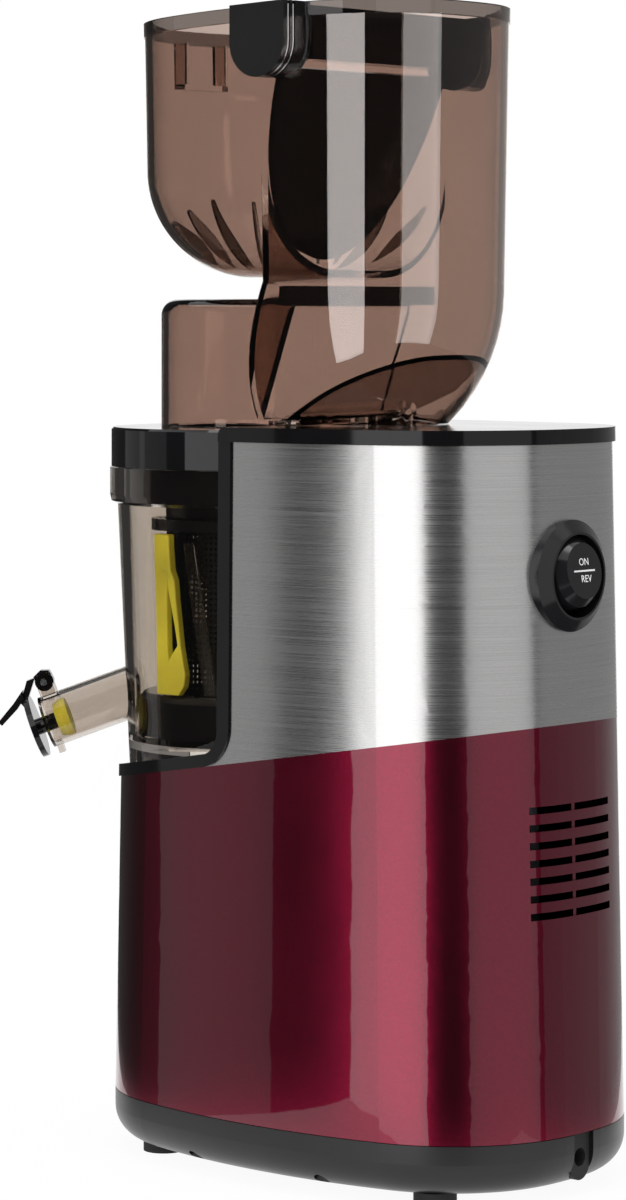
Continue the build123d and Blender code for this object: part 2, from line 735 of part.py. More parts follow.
def build_bowl():
    low, high = bowl_low, bowl_top
    ring_low, ring_high = rim_low, rim_high
    outside = [(0, low), (bowl_foot_radius, low), (bowl_top_radius, ring_low)]
    outside += [(rim_radius - 0.6, ring_low + 1.4)]
    outside += [(rim_radius, ring_low + 4), (rim_radius, ring_high), (bowl_top_radius - 0.3, ring_high)]
    outside += [(bowl_top_radius - 0.3, high), (0, high)]
    bowl = turned(outside)
    spout_length = 60.0
    bowl += tube_piece(juice_plane, spout_radius, -spout_length, 0)
    bowl += tube_piece(pulp_plane, pulp_radius, -spout_length, 0)
    lug_length = 7.0
    lug_spread = 9.0
    lug_height = cap_pin_rise + 3.4
    lug = Box(2.6, lug_height - 8, lug_length)
    for side in (-1, 1):
        bowl += juice_plane * Pos(side * lug_spread / 2, lug_height / 2 + 4, -cap_pin_back) * lug
    lip = juice_plane * Pos(0, -spout_radius - 1.2, -2.5) * Box(6, 4.0, 2.6)
    bowl += lip
    bowl -= bowl_cavity()
    bowl -= rod(bowl_foot_radius - bowl_wall, low - 1, low + bowl_skirt, y=bowl_y)
    bowl -= tube_piece(juice_plane, spout_bore, -44.0, 1) + tube_piece(pulp_plane, pulp_bore, -34.0, 1)
    mouth_bevel = juice_plane * Pos(0, 0, -0.5) * Cone(spout_bore, spout_bore + 1.2, 1.2)
    bowl -= mouth_bevel
    bowl -= rod(bowl_seal_radius, 0, FAR, y=bowl_y)
    bowl -= juice_plane * Pos(0, cap_pin_rise, -cap_pin_back) * Rot(0, 90, 0) * Cylinder(cap_pin_radius, 40)
    nodes["bowl"] = bowl

    journal_bore = journal_radius + running_clearance
    seal_low = low + bowl_skirt - 0.8
    nodes["bowl_seal"] = collar(bowl_seal_radius, journal_bore, seal_low, bowl_inside_z + 1.6, y=bowl_y)
    a = radians(spout_azimuth)
    plug_reach = 36.0
    floor_under = low + bowl_skirt
    plug_x, plug_y = -sin(a) * plug_reach, bowl_y - cos(a) * plug_reach
    nodes["pulp_plug"] = rod(8.0, floor_under - 2.2, floor_under, plug_x, plug_y)

    idler_reach = wheel_module * (sun_teeth + idler_teeth) / 2
    pin_top = wheel_low + wheel_width + 0.4
    pins = [rod(idler_pin, bowl_inside_z, pin_top, s * idler_reach, bowl_y) for s in (-1, 1)]
    nodes["idler_pins"] = Compound(pins)


def build_spout_cap():
    """Lever, disc and plug that close the juice spout; local axes are side, up, flow."""
    pin_at = Pos(0, cap_pin_rise, -cap_pin_back)
    along_side = Rot(0, 90, 0)
    knuckle_half = 3.0
    knuckle = pin_at * along_side * Cylinder(4.2, 2 * knuckle_half)
    knuckle -= pin_at * along_side * Cylinder(cap_pin_radius + running_clearance, 30)

    def strip(points, half_width):
        """Bar of the given (flow, up) outline, as wide as the lever."""
        face = make_face(Polyline(*[(0, up, flow) for flow, up in points], close=True))
        return extrude(face, half_width, dir=(1, 0, 0), both=True)

    disc_at = 3.4
    disc_thick = 2.6
    disc = Pos(0, 0, disc_at + disc_thick / 2) * Cylinder(cap_disc_radius, disc_thick)
    neck = strip([(-2.2, 20.5), (3.6, 13.0), (3.6, 8.0), (6.0, 8.0), (7.6, 12.0), (1.8, 20.4)], knuckle_half)
    tail = strip([(5.4, 13.4), (9.5, 10.2), (18.4, 5.6), (19.6, 7.6), (10.5, 13.0), (5.0, 17.0)], 6.0)
    jaw = [(-9.6, 19.4), (-9.0, 21.6), (-5.5, 22.8), (-1.6, 21.0), (-2.6, 19.0), (-5.5, 20.4)]
    hook = strip(jaw, knuckle_half)
    stem = Pos(0, -0.6, (disc_at - 8) / 2) * Cylinder(3.6, disc_at + 8)
    lever = disc + neck + tail + hook + (knuckle - pin_at * along_side * Cylinder(1.0, 40)) + stem
    lever -= pin_at * along_side * Cylinder(cap_pin_radius + running_clearance, 40)
    plug_profile = [(3.6, -11.0), (8.3, -11.0), (8.5, -8.6), (7.2, -5.2), (3.6, -5.2)]
    face = make_face(Polyline(*[(r, 0, z) for r, z in plug_profile], close=True))
    plug = Pos(0, -0.6, 0) * revolve(face, Axis.Z)
    plug += Pos(0, -0.6, -10.0) * Cylinder(3.6, 2.0)
    lever -= Pos(0, -0.6, -10.0) * Cylinder(3.6, 2.0)
    nodes["juice_cap_lever"] = juice_plane * lever
    nodes["juice_cap_plug"] = juice_plane * plug
    pin_half = 6.6
    nodes["cap_hinge_pin"] = juice_plane * pin_at * along_side * Cylinder(cap_pin_radius, 2 * pin_half)


# ---- strainer, wiper and auger ----


def build_strainer():
    frame_inner = strainer_radius - 3.6
    band_top = strainer_low + strainer_band
    flange_top = ledge_z + 3.0
    flange_reach = bowl_top_radius - bowl_wall - 0.4
    skin = strainer_radius - mesh_gauge
    frame = collar(strainer_radius, frame_inner, strainer_low, band_top, y=bowl_y)
    frame += collar(strainer_radius, skin - 1.4, strainer_top, flange_top, y=bowl_y)
    frame += collar(flange_reach, skin - 1.4, ledge_z, flange_top, y=bowl_y)
    frame += collar(flange_reach, flange_reach - upstand_wall, ledge_z, ledge_z + strainer_upstand, y=bowl_y)
    ribs = 4
    rib_width = 5.0
    rib_inner = skin - 1.4
    tube = collar(skin, rib_inner, band_top - 0.5, strainer_top + 0.5, y=bowl_y)
    for rib in range(ribs):
        turn = 360.0 * (rib + 0.5) / ribs
        bar = block(20, rib_width, band_top - 0.5, strainer_top + 0.5, strainer_radius)
        frame += tube & (Pos(0, bowl_y, 0) * Rot(0, 0, turn) * bar)
    nodes["strainer_frame"] = frame
    nodes["strainer_mesh"] = collar(strainer_radius, skin, band_top, strainer_top, y=bowl_y)


def build_wiper():
    teeth_at = 180.0 / ring_teeth
    root_ring = collar(wiper_radius, 20.0, wiper_low, wiper_step)
    ring = (ring_teeth, wheel_module, wiper_low - 1, wiper_step, teeth_at)
    base = root_ring - gear_prism(*ring, tip=1.2, root=0.9, play=-gear_backlash)
    slot_inner = strainer_radius + 1.6
    base += collar(wiper_radius, slot_inner, wiper_step - 0.5, wiper_rim)
    base += collar(wiper_radius, slot_inner, wiper_top - 5, wiper_top)
    skirt_low = wiper_low + 2.6
    skirt_inner = wiper_radius - 1.0
    skirt = [(skirt_inner, skirt_low), (wiper_skirt, skirt_low), (wiper_skirt, wiper_rim - 3)]
    base += turned(skirt + [(wiper_skirt - 2.4, wiper_rim), (skirt_inner, wiper_rim)], 0)
    post_width = 5.0
    blades = []
    for blade in range(blade_count):
        turn = Rot(0, 0, blade_turn + 360.0 * blade / blade_count)
        post = block(wiper_radius - slot_inner - 0.2, post_width, wiper_rim - 1, wiper_top - 4)
        base += turn * (Pos((wiper_radius + slot_inner) / 2 + 0.1, 0, 0) * post)
        reach = blade_reach - wiper_radius
        slab = block(reach, blade_width, wiper_rim + 0.6, wiper_top - 5.6, wiper_radius + reach / 2)
        slab -= block(reach * 3, 5.0, wiper_rim + 22, wiper_top - 30, wiper_radius + reach / 2)
        blades.append(Pos(0, bowl_y, 0) * turn * slab)
    nodes["wiper_frame"] = Pos(0, bowl_y, 0) * base
    nodes["wiper_blades"] = Compound(blades)


def build_auger():
    steps = 24
    lobes = 2
    points = []
    for step in range(steps):
        turn = 2 * pi * step / steps
        swell = max(0.0, cos(lobes * turn)) ** 3
        radius = auger_core + (auger_radius - auger_core) * swell
        points.append((radius * cos(turn), radius * sin(turn), auger_low))
    section = make_face(Spline(*points, periodic=True)).face().outer_wire()
    lift = (0, 0, auger_high - auger_low)
    screw = Solid.extrude_linear_with_rotation(section, (0, 0, auger_low), lift, auger_twist)
    base_disc = rod(auger_radius - 2.2, wiper_step + 0.8, auger_low + 2)
    hub = rod(journal_radius + 2.5, wheel_low, wiper_step + 1)
    sun = gear_prism(sun_teeth, wheel_module, wheel_low, wheel_width, 0.0)
    socket_top = hex_top + 8
    tip = Pos(0, 0, auger_high + 4) * Cone(12.0, 5.0, 8.0)
    auger = screw + base_disc + hub + sun + tip - rod(journal_radius, 0, socket_top)
    nodes["auger"] = Pos(0, bowl_y, 0) * auger
    socket = rod(journal_radius, bowl_low + 1.8, socket_top)
    hole = RegularPolygon(hex_across / 2 + hex_gap, 6, major_radius=False)
    socket -= extrude(Pos(0, 0, bowl_low) * hole, hex_top + 1.5 - bowl_low)
    nodes["auger_socket"] = Pos(0, bowl_y, 0) * socket

    reach = wheel_module * (sun_teeth + idler_teeth) / 2
    for name, side in (("idler_gear_right", 1), ("idler_gear_left", -1)):
        idler = gear_prism(idler_teeth, wheel_module, wheel_low, wheel_width, 180.0 / idler_teeth)
        hub = collar(4.5, 1.0, wheel_low - 2.1, wheel_low + 1)
        idler = idler + hub - rod(idler_pin + running_clearance, 0, FAR)
        nodes[name] = Pos(side * reach, bowl_y, 0) * idler


# ---- lid, hopper and gate ----


def build_lid():
    low = rim_high + 0.3
    inner = bowl_top_radius + 0.2
    under = lid_top - lid_disc
    profile = [(inner, low), (lid_radius, low), (lid_radius, lid_top - 1), (lid_radius - 1, lid_top)]
    profile += [(feed_radius, lid_top), (feed_radius, under), (inner, under)]
    nodes["lid_ring"] = turned(profile)
    gasket_outer = bowl_top_radius - 0.4
    nodes["lid_gasket"] = collar(gasket_outer, gasket_outer - 2.4, bowl_top + 0.3, under, y=bowl_y)


def tub_outline(z, inset):
    shrink = (rim_height - z) * tan(radians(tub_draft)) + inset
    return oval(tub_length, tub_width, tub_radii, shrink, tub_y, z)


def tub_stack(levels):
    return loft([tub_outline(z, inset) for z, inset in levels], ruled=True)


def belly(inset):
    """Front chamber: straight walls over a quarter-round bottom."""
    bottom = belly_bottom + inset
    blank = tub_stack([(rim_height + 20, inset), (bottom, inset)])
    return fillet(blank.edges().group_by(Axis.Z)[0], belly_round - inset)


def chamber(inset, low):
    """Rear chamber: straight walls that lean in step by step towards the tower's top."""
    radius = chamber_round - inset
    steps = 8
    levels = [(rim_height + 20, inset)]
    for step in range(steps + 1):
        drop = (chamber_start - low) * step / steps
        levels.append((chamber_start - drop, inset + radius - sqrt(radius**2 - drop**2)))
    return tub_stack(levels)


def above_rim(lift):
    """Everything above the hopper's slanted mouth plane."""
    low, high = rim_height - rim_slope * (FAR + tub_y) + lift, rim_height + rim_slope * (FAR - tub_y) + lift
    return side_prism([(-FAR, low), (FAR, high), (FAR, 2 * FAR), (-FAR, 2 * FAR)])


def boss_prism(radius, x_low, x_high):
    """D-shaped block across the wall: round below, straight up to the rim."""
    length = x_high - x_low
    middle = (x_low + x_high) / 2
    round_part = Pos(middle, hinge_y, hinge_z) * Rot(0, 90, 0) * Cylinder(radius, length)
    straight = block(length, 2 * radius, hinge_z, hinge_z + 40, middle, hinge_y)
    return round_part + straight


def build_hopper():
    behind = [(neck_y, 2 * FAR), (neck_y, belly_bottom - 2), (throat_y, chamber_floor - 1)]
    rear_region = side_prism(behind + [(FAR, chamber_floor - 1), (FAR, 2 * FAR)])
    inner_wall = hopper_wall
    behind_inner = [(neck_y + partition, 2 * FAR), (neck_y + partition, belly_bottom - 1)]
    behind_inner += [(throat_y + partition, chamber_floor - 1), (FAR, chamber_floor - 1), (FAR, 2 * FAR)]
    rear_inner = side_prism(behind_inner)
    front_region = block(FAR, FAR, 0, 2 * FAR, y=neck_y - FAR / 2)
    front_inner = block(FAR, FAR, 0, 2 * FAR, y=neck_y + inner_wall - FAR / 2)

    ramp_low = chamber_floor + partition
    ramp_high_y = tub_y + tub_length / 2
    ramp_high = ramp_low + ramp_slope * (ramp_high_y - ramp_low_y)
    ramp_line = [(-FAR, ramp_low), (ramp_low_y, ramp_low), (ramp_high_y, ramp_high)]
    over_ramp = side_prism(ramp_line + [(ramp_high_y, 2 * FAR), (-FAR, 2 * FAR)])
    hollow_start = 12.0
    hollow_y = ramp_low_y + hollow_start
    drop = partition * sqrt(1 + ramp_slope**2)
    under = [(hollow_y, chamber_floor - 1), (ramp_high_y, chamber_floor - 1)]
    under += [(ramp_high_y, ramp_high - drop), (hollow_y, ramp_low + ramp_slope * hollow_start - drop)]
    under_ramp = side_prism(under)

    outer = (belly(0.0) & front_region) + (chamber(0.0, chamber_floor) & rear_region)
    dome = thumb(dome_radius, neck_y, lid_top, dome_top)
    dome = fillet(dome.edges().group_by(Axis.Z)[-1].sort_by(Axis.Y)[:-1], dome_round)
    keep = block(FAR, FAR, 0, chamber_floor, y=bezel_front + FAR / 2)
    outer += dome - keep
    front_space_in = belly(inner_wall) & front_inner
    rear_space_in = chamber(inner_wall, chamber_floor) & rear_inner
    inner_dome = dome_radius - inner_wall
    throat_top = dome_top - inner_wall
    throat = thumb(inner_dome, neck_y + inner_wall, ramp_low, throat_top) & over_ramp
    hopper = outer - front_space_in - (rear_space_in & over_ramp) - (rear_space_in & under_ramp)
    hopper -= throat + rod(inner_dome, lid_top - 1, throat_top, y=bowl_y)
    bar_low = throat_top + 0.5
    bar = block(throat_bar_width, throat_bar_depth, bar_low, bar_low + throat_bar_height, y=neck_y + 1)
    hopper -= bar
    nodes["throat_bar"] = bar
    grip_width, grip_height, grip_depth = 28.0, 25.0, 8.0
    grip_y = tub_y - tub_length / 2 + hopper_wall + grip_depth / 2 - 0.5
    grip_z = rim_height - 16.8
    frame_box = Pos(0, grip_y, grip_z) * Box(grip_width, grip_depth, grip_height)
    hopper += frame_box - Pos(0, grip_y + 1, grip_z) * Box(grip_width - 5, grip_depth + 1, grip_height - 5)
    hopper -= above_rim(-rim_band)
    bosses = boss_prism(boss_radius, -boss_outer_x, -boss_inner_x)
    bosses += boss_prism(boss_radius, boss_inner_x, boss_outer_x)
    nodes["hopper"] = hopper - bosses

    bead = 0.5
    band = tub_stack([(rim_height - 20, -bead), (rim_height + 20, -bead)])
    band -= tub_stack([(rim_height - 21, hopper_wall + bead), (rim_height + 21, hopper_wall + bead)])
    band = (band & above_rim(-rim_band)) - above_rim(0.0) - bosses
    nodes["hopper_rim_front"], nodes["hopper_rim_back"] = band.solids().sort_by(Axis.Y)


def build_gate():
    groove = 1.0
    groove_width = 1.6
    pin_outer = boss_outer_x - 5.0
    spring_reach = 5.0
    knuckle_radius = 5.5
    knuckle_high = boss_inner_x - 1.0
    knuckle_low = knuckle_high - 10.0
    bar_depth = 12.0
    bar_low = hinge_z - 6.4
    bridge_low = hinge_z + knuckle_radius + 1.4
    across = Rot(0, 90, 0)
    hinge = Pos(0, hinge_y, hinge_z)
    top_cut = above_rim(0.0)

    for name, side in (("gate_boss_right", 1), ("gate_boss_left", -1)):
        x_low, x_high = sorted((side * boss_inner_x, side * boss_outer_x))
        boss = boss_prism(boss_radius, x_low, x_high)
        for step in range(2):
            x = boss_outer_x - 3.6 - step * 3.2
            band = boss_prism(boss_radius + 1, x - groove_width / 2, x + groove_width / 2)
            band -= boss_prism(boss_radius - groove, x - groove_width, x + groove_width)
            boss -= band if side > 0 else mirror(band, Plane.YZ)
        length = pin_outer - boss_inner_x + 1
        pin_hole = Cylinder(gate_pin_radius, length)
        boss -= hinge * Pos(side * (boss_inner_x - 1 + length / 2), 0, 0) * across * pin_hole
        if side < 0:
            boss -= hinge * Pos(-boss_inner_x - 3.0, 0, 0) * across * Cylinder(spring_reach, 6.0)
        nodes[name] = boss - top_cut

    pins = []
    for side in (-1, 1):
        length = pin_outer - knuckle_low
        middle = side * (knuckle_low + length / 2)
        pins.append(hinge * Pos(middle, 0, 0) * across * Cylinder(gate_pin_radius, length))
    nodes["gate_pins"] = Compound(pins)
    coil = Cylinder(spring_reach, 5.0) - Cylinder(gate_pin_radius, 6.0)
    nodes["gate_spring"] = hinge * Pos(-boss_inner_x - 3.2, 0, 0) * across * coil

    bar = block(2 * (knuckle_low - 1), bar_depth, bar_low, hinge_z + 40, y=hinge_y)
    bar += block(2 * boss_inner_x, bar_depth, bridge_low, hinge_z + 40, y=hinge_y)
    nodes["gate_crossbar"] = bar - top_cut

    oval_height = gate_drop - gate_shoulder
    lower = Pos(0, -gate_shoulder) * Ellipse(gate_half_width, oval_height)
    shape = lower & Pos(0, -gate_top - FAR / 2) * Rectangle(FAR, FAR)
    tilt = Rot(90 - gate_tilt, 0, 0)
    flap = tilt * (Pos(0, 0, -gate_thickness / 2) * extrude(shape, gate_thickness))
    for side in (-1, 1):
        knuckle = Cylinder(knuckle_radius, knuckle_high - knuckle_low)
        arm = Box(gate_half_width - knuckle_low, gate_top + 3, gate_thickness)
        flap += Pos(side * (knuckle_low + knuckle_high) / 2, 0, 0) * across * knuckle
        flap += tilt * (Pos(side * (knuckle_low + gate_half_width) / 2, -gate_top / 2 - 2, 0) * arm)
    flap -= across * Cylinder(gate_pin_radius + running_clearance, 3 * boss_outer_x)
    nodes["gate_flap"] = hinge * flap


def main():
    build_body()
    build_switch()
    build_drive()
    build_motor()
    build_electrics()
    build_bowl()
    build_spout_cap()
    build_strainer()
    build_wiper()
    build_auger()
    build_lid()
    build_hopper()
    build_gate()

    box = Compound([shape for shape in nodes.values()]).bounding_box()
    shift = Pos(-(box.min.X + box.max.X) / 2, -(box.min.Y + box.max.Y) / 2, 0)
    os.makedirs("parts", exist_ok=True)
    for name, shape in nodes.items():
        export_step(shift * shape, f"parts/{name}.step")


main()
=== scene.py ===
"""Cold press juicer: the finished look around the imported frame."""

from math import cos, pi, radians, sin, tan

import bmesh
import bpy
from mathutils import Matrix, Vector
from mathutils.bvhtree import BVHTree


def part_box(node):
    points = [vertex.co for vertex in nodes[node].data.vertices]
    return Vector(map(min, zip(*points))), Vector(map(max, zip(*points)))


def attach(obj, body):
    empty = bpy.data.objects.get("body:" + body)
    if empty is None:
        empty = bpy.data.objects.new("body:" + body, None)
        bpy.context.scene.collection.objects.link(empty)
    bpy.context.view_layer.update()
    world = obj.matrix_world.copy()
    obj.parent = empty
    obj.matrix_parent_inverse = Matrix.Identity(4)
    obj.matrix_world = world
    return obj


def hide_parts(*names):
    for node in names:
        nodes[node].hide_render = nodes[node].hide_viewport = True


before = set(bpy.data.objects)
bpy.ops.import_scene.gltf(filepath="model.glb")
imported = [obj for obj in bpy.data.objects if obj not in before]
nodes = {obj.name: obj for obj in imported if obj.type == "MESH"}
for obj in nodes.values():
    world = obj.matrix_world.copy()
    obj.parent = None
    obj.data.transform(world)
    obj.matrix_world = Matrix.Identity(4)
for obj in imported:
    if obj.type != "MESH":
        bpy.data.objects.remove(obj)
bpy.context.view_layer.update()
scene = bpy.context.scene

# ---- camera ----
# A long lens held level at the lid's height and shifted down, so that upright edges stay upright.
# Its distance and its small step to the side are taken from the axis of the body.
MM = 0.001
view_turn = radians(40.0)
view_distance = 1.7078
view_side = -0.0006
view_height = 0.36436
view_yaw = radians(-0.74)
body_axis_y = (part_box("lower_shell")[0].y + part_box("lower_shell")[1].y) / 2
lens_mm = 118.4
frame_drop = -0.238

lens = bpy.data.cameras.new("camera")
lens.lens = lens_mm
lens.sensor_width = 36.0
lens.shift_y = frame_drop
lens.clip_end = 20.0
camera = bpy.data.objects.new("camera", lens)
scene.collection.objects.link(camera)
camera.location = (
    view_distance * cos(view_turn) - view_side * sin(view_turn),
    view_distance * sin(view_turn) + view_side * cos(view_turn) + body_axis_y,
    view_height,
)
camera.rotation_euler = (pi / 2, 0, view_turn + pi / 2 - view_yaw)
scene.camera = camera
scene.view_settings.view_transform = "Standard"

# ---- studio ----
# A narrow white table ends just before the object, in a white surround. A dark screen stands round all
# but the back of the room and tall soft boxes before it. Two of them light the hopper alone, one the
# bowl and lid alone, and the body's boxes stay off the hopper and the bowl.
table_long = 30.0
table_front = 0.21
table_half = 0.21
floor_white = (0.93, 0.93, 0.93, 1)
floor_share = 0.94
surround_glow = 0.75
screen_dark = (0.05, 0.05, 0.05, 1)
screen_reach = 2.6
screen_start, screen_end, screen_step = -128, 204, 4
screen_foot, screen_top = -5.0, 2.6


def shader_tree(owner):
    """Empties an owner's node tree and returns it with a function that adds one node."""
    owner.use_nodes = True
    tree = owner.node_tree
    tree.nodes.clear()

    def add(kind, **values):
        node = tree.nodes.new(kind)
        for name, value in values.items():
            setattr(node, name, value)
        return node

    return tree, add


def white_seen(add, tree, share):
    """Factor of the rays that see plain white: the camera's, mirrored and refracted ones."""
    path = add("ShaderNodeLightPath")
    mirrored = add("ShaderNodeMath", operation="MAXIMUM")
    any_ray = add("ShaderNodeMath", operation="MAXIMUM")
    tree.links.new(path.outputs["Is Camera Ray"], mirrored.inputs[0])
    tree.links.new(path.outputs["Is Glossy Ray"], mirrored.inputs[1])
    tree.links.new(mirrored.outputs[0], any_ray.inputs[0])
    tree.links.new(path.outputs["Is Transmission Ray"], any_ray.inputs[1])
    part = add("ShaderNodeMath", operation="MULTIPLY")
    part.inputs[1].default_value = share
    tree.links.new(any_ray.outputs[0], part.inputs[0])
    return part.outputs[0]


def stage_mesh(name, points, faces, finish):
    """Puts a sheet of the studio in the scene."""
    mesh = bpy.data.meshes.new(name)
    mesh.from_pydata(points, [], faces)
    mesh.materials.append(finish)
    sheet = bpy.data.objects.new(name, mesh)
    scene.collection.objects.link(sheet)
    return sheet


table_finish = bpy.data.materials.new("table_white")
tree, add = shader_tree(table_finish)
matt = add("ShaderNodeBsdfDiffuse")
matt.inputs["Color"].default_value = floor_white
glow = add("ShaderNodeEmission")
glow.inputs["Strength"].default_value = 1.0
camera_mix, output = add("ShaderNodeMixShader"), add("ShaderNodeOutputMaterial")
tree.links.new(white_seen(add, tree, floor_share), camera_mix.inputs[0])
tree.links.new(matt.outputs[0], camera_mix.inputs[1])
tree.links.new(glow.outputs[0], camera_mix.inputs[2])
tree.links.new(camera_mix.outputs[0], output.inputs["Surface"])
forward = Vector((cos(view_turn), sin(view_turn), 0))
sideways = Vector((-sin(view_turn), cos(view_turn), 0))
middle = Vector((0, body_axis_y, 0))
table_corners = [
    middle + forward * ahead + sideways * across
    for ahead, across in (
        (table_front, -table_half), (table_front, table_half),
        (-table_long, table_half), (-table_long, -table_half),
    )
]
stage_mesh("table", table_corners, [(0, 1, 2, 3)], table_finish)

world = bpy.data.worlds.new("surround")
scene.world = world
tree, add = shader_tree(world)
white, dim = add("ShaderNodeBackground"), add("ShaderNodeBackground")
white.inputs["Color"].default_value = (1, 1, 1, 1)
white.inputs["Strength"].default_value = 1.0
dim.inputs["Color"].default_value = (1, 1, 1, 1)
dim.inputs["Strength"].default_value = surround_glow
mix, output = add("ShaderNodeMixShader"), add("ShaderNodeOutputWorld")
tree.links.new(white_seen(add, tree, 1.0), mix.inputs[0])
tree.links.new(dim.outputs[0], mix.inputs[1])
tree.links.new(white.outputs[0], mix.inputs[2])
tree.links.new(mix.outputs[0], output.inputs["Surface"])

# Only a ray that has been mirrored meets the screen; it is clear to all others.
screen_finish = bpy.data.materials.new("screen_dark")
tree, add = shader_tree(screen_finish)
cloth, clear = add("ShaderNodeBsdfDiffuse"), add("ShaderNodeBsdfTransparent")
cloth.inputs["Color"].default_value = screen_dark
path = add("ShaderNodeLightPath")
mirrored = add("ShaderNodeMath", operation="GREATER_THAN")
mirrored.inputs[1].default_value = 0.5
mix, output = add("ShaderNodeMixShader"), add("ShaderNodeOutputMaterial")
tree.links.new(path.outputs["Glossy Depth"], mirrored.inputs[0])
tree.links.new(mirrored.outputs[0], mix.inputs[0])
tree.links.new(clear.outputs[0], mix.inputs[1])
tree.links.new(cloth.outputs[0], mix.inputs[2])
tree.links.new(mix.outputs[0], output.inputs["Surface"])
screen_turns = [radians(turn) for turn in range(screen_start, screen_end + 1, screen_step)]
screen_points = [
    (screen_reach * cos(turn), screen_reach * sin(turn) + body_axis_y, z)
    for turn in screen_turns
    for z in (screen_foot, screen_top)
]
screen_faces = [(2 * i, 2 * i + 2, 2 * i + 3, 2 * i + 1) for i in range(len(screen_turns) - 1)]
screen = stage_mesh("screen", screen_points, screen_faces, screen_finish)
screen.visible_camera = False
screen.visible_diffuse = False
screen.visible_shadow = False


def soft_box(name, turn_deg, spread_deg, radiance, distance=1.5, low=-0.75, high=1.6):
    """Upright area light that spans spread_deg as seen from the body's axis."""
    light = bpy.data.lights.new(name, "AREA")
    light.shape = "RECTANGLE"
    light.size = 2 * distance * tan(radians(spread_deg) / 2)
    light.size_y = high - low
    light.energy = radiance * pi * light.size * light.size_y
    lamp = bpy.data.objects.new(name, light)
    scene.collection.objects.link(lamp)
    turn = radians(turn_deg)
    lamp.location = (distance * cos(turn), distance * sin(turn) + body_axis_y, (low + high) / 2)
    lamp.rotation_euler = (pi / 2, 0, turn + pi / 2)
    return lamp


body_lights = [
    soft_box("key_box", 4.6, 42.2, 1.85),
    soft_box("far_box", 81.0, 52.0, 0.60),
    soft_box("near_card", -48.0, 29.0, 0.33),
]
bowl_lights = [soft_box("bowl_card", -70.0, 27.0, 0.37)]
soft_box("back_card", 158.0, 92.0, 0.24)
clear_lights = [
    soft_box("hopper_box", 28.0, 34.0, 7.0, low=-3.6),
    soft_box("hopper_far_box", 100.0, 40.0, 4.2),
]
top_light = bpy.data.lights.new("top_box", "AREA")
top_light.shape = "SQUARE"
top_light.size = 1.2
top_light.energy = 14.0
top_lamp = bpy.data.objects.new("top_box", top_light)
scene.collection.objects.link(top_lamp)
top_lamp.location = (0.2, 0.1, 1.9)


# ---- base tray and its screws ----
# Injection-moulded black ABS with a fine spark-eroded texture; it closes the lower shell from below
# and four screws go up through it. What it shares with the other mouldings is defined here.
def new_group(name, inputs, outputs):
    """Shader node group with float inputs {name: value} and the named float outputs."""
    group = bpy.data.node_groups.new(name, "ShaderNodeTree")
    for label, value in inputs.items():
        socket = group.interface.new_socket(label, in_out="INPUT", socket_type="NodeSocketFloat")
        socket.default_value = value
    for label in outputs:
        group.interface.new_socket(label, in_out="OUTPUT", socket_type="NodeSocketFloat")
    return group, group.nodes.new("NodeGroupInput"), group.nodes.new("NodeGroupOutput")


def noise_in(tree, vector, scale, detail=3.0, rough=0.5):
    """Noise texture; scale is a number or a socket."""
    node = tree.nodes.new("ShaderNodeTexNoise")
    node.inputs["Detail"].default_value = detail
    node.inputs["Roughness"].default_value = rough
    tree.links.new(vector, node.inputs["Vector"])
    if isinstance(scale, (int, float)):
        node.inputs["Scale"].default_value = scale
    else:
        tree.links.new(scale, node.inputs["Scale"])
    return node.outputs[0]


def stretch(tree, value, low, high, from_low=0.3, from_high=0.7):
    """Maps a 0-1 pattern to low..high."""
    node = tree.nodes.new("ShaderNodeMapRange")
    node.inputs["From Min"].default_value = from_low
    node.inputs["From Max"].default_value = from_high
    node.inputs["To Min"].default_value = low
    node.inputs["To Max"].default_value = high
    tree.links.new(value, node.inputs["Value"])
    return node.outputs["Result"]


# Texture of a moulding: Height for the bump, Patch for slow shifts of colour, Rub for handled areas.
grain_group, grain_in, grain_out = new_group("moulded_grain", {"Scale": 2500.0}, ("Height", "Patch", "Rub"))
grain_place = grain_group.nodes.new("ShaderNodeTexCoord")
grain_group.links.new(
    noise_in(grain_group, grain_place.outputs["Object"], grain_in.outputs["Scale"], 2.0, 0.6),
    grain_out.inputs["Height"],
)
grain_group.links.new(
    noise_in(grain_group, grain_place.outputs["Object"], 38.0, 3.0),
    grain_out.inputs["Patch"],
)
grain_group.links.new(
    noise_in(grain_group, grain_place.outputs["Object"], 14.0, 5.0, 0.62),
    grain_out.inputs["Rub"],
)


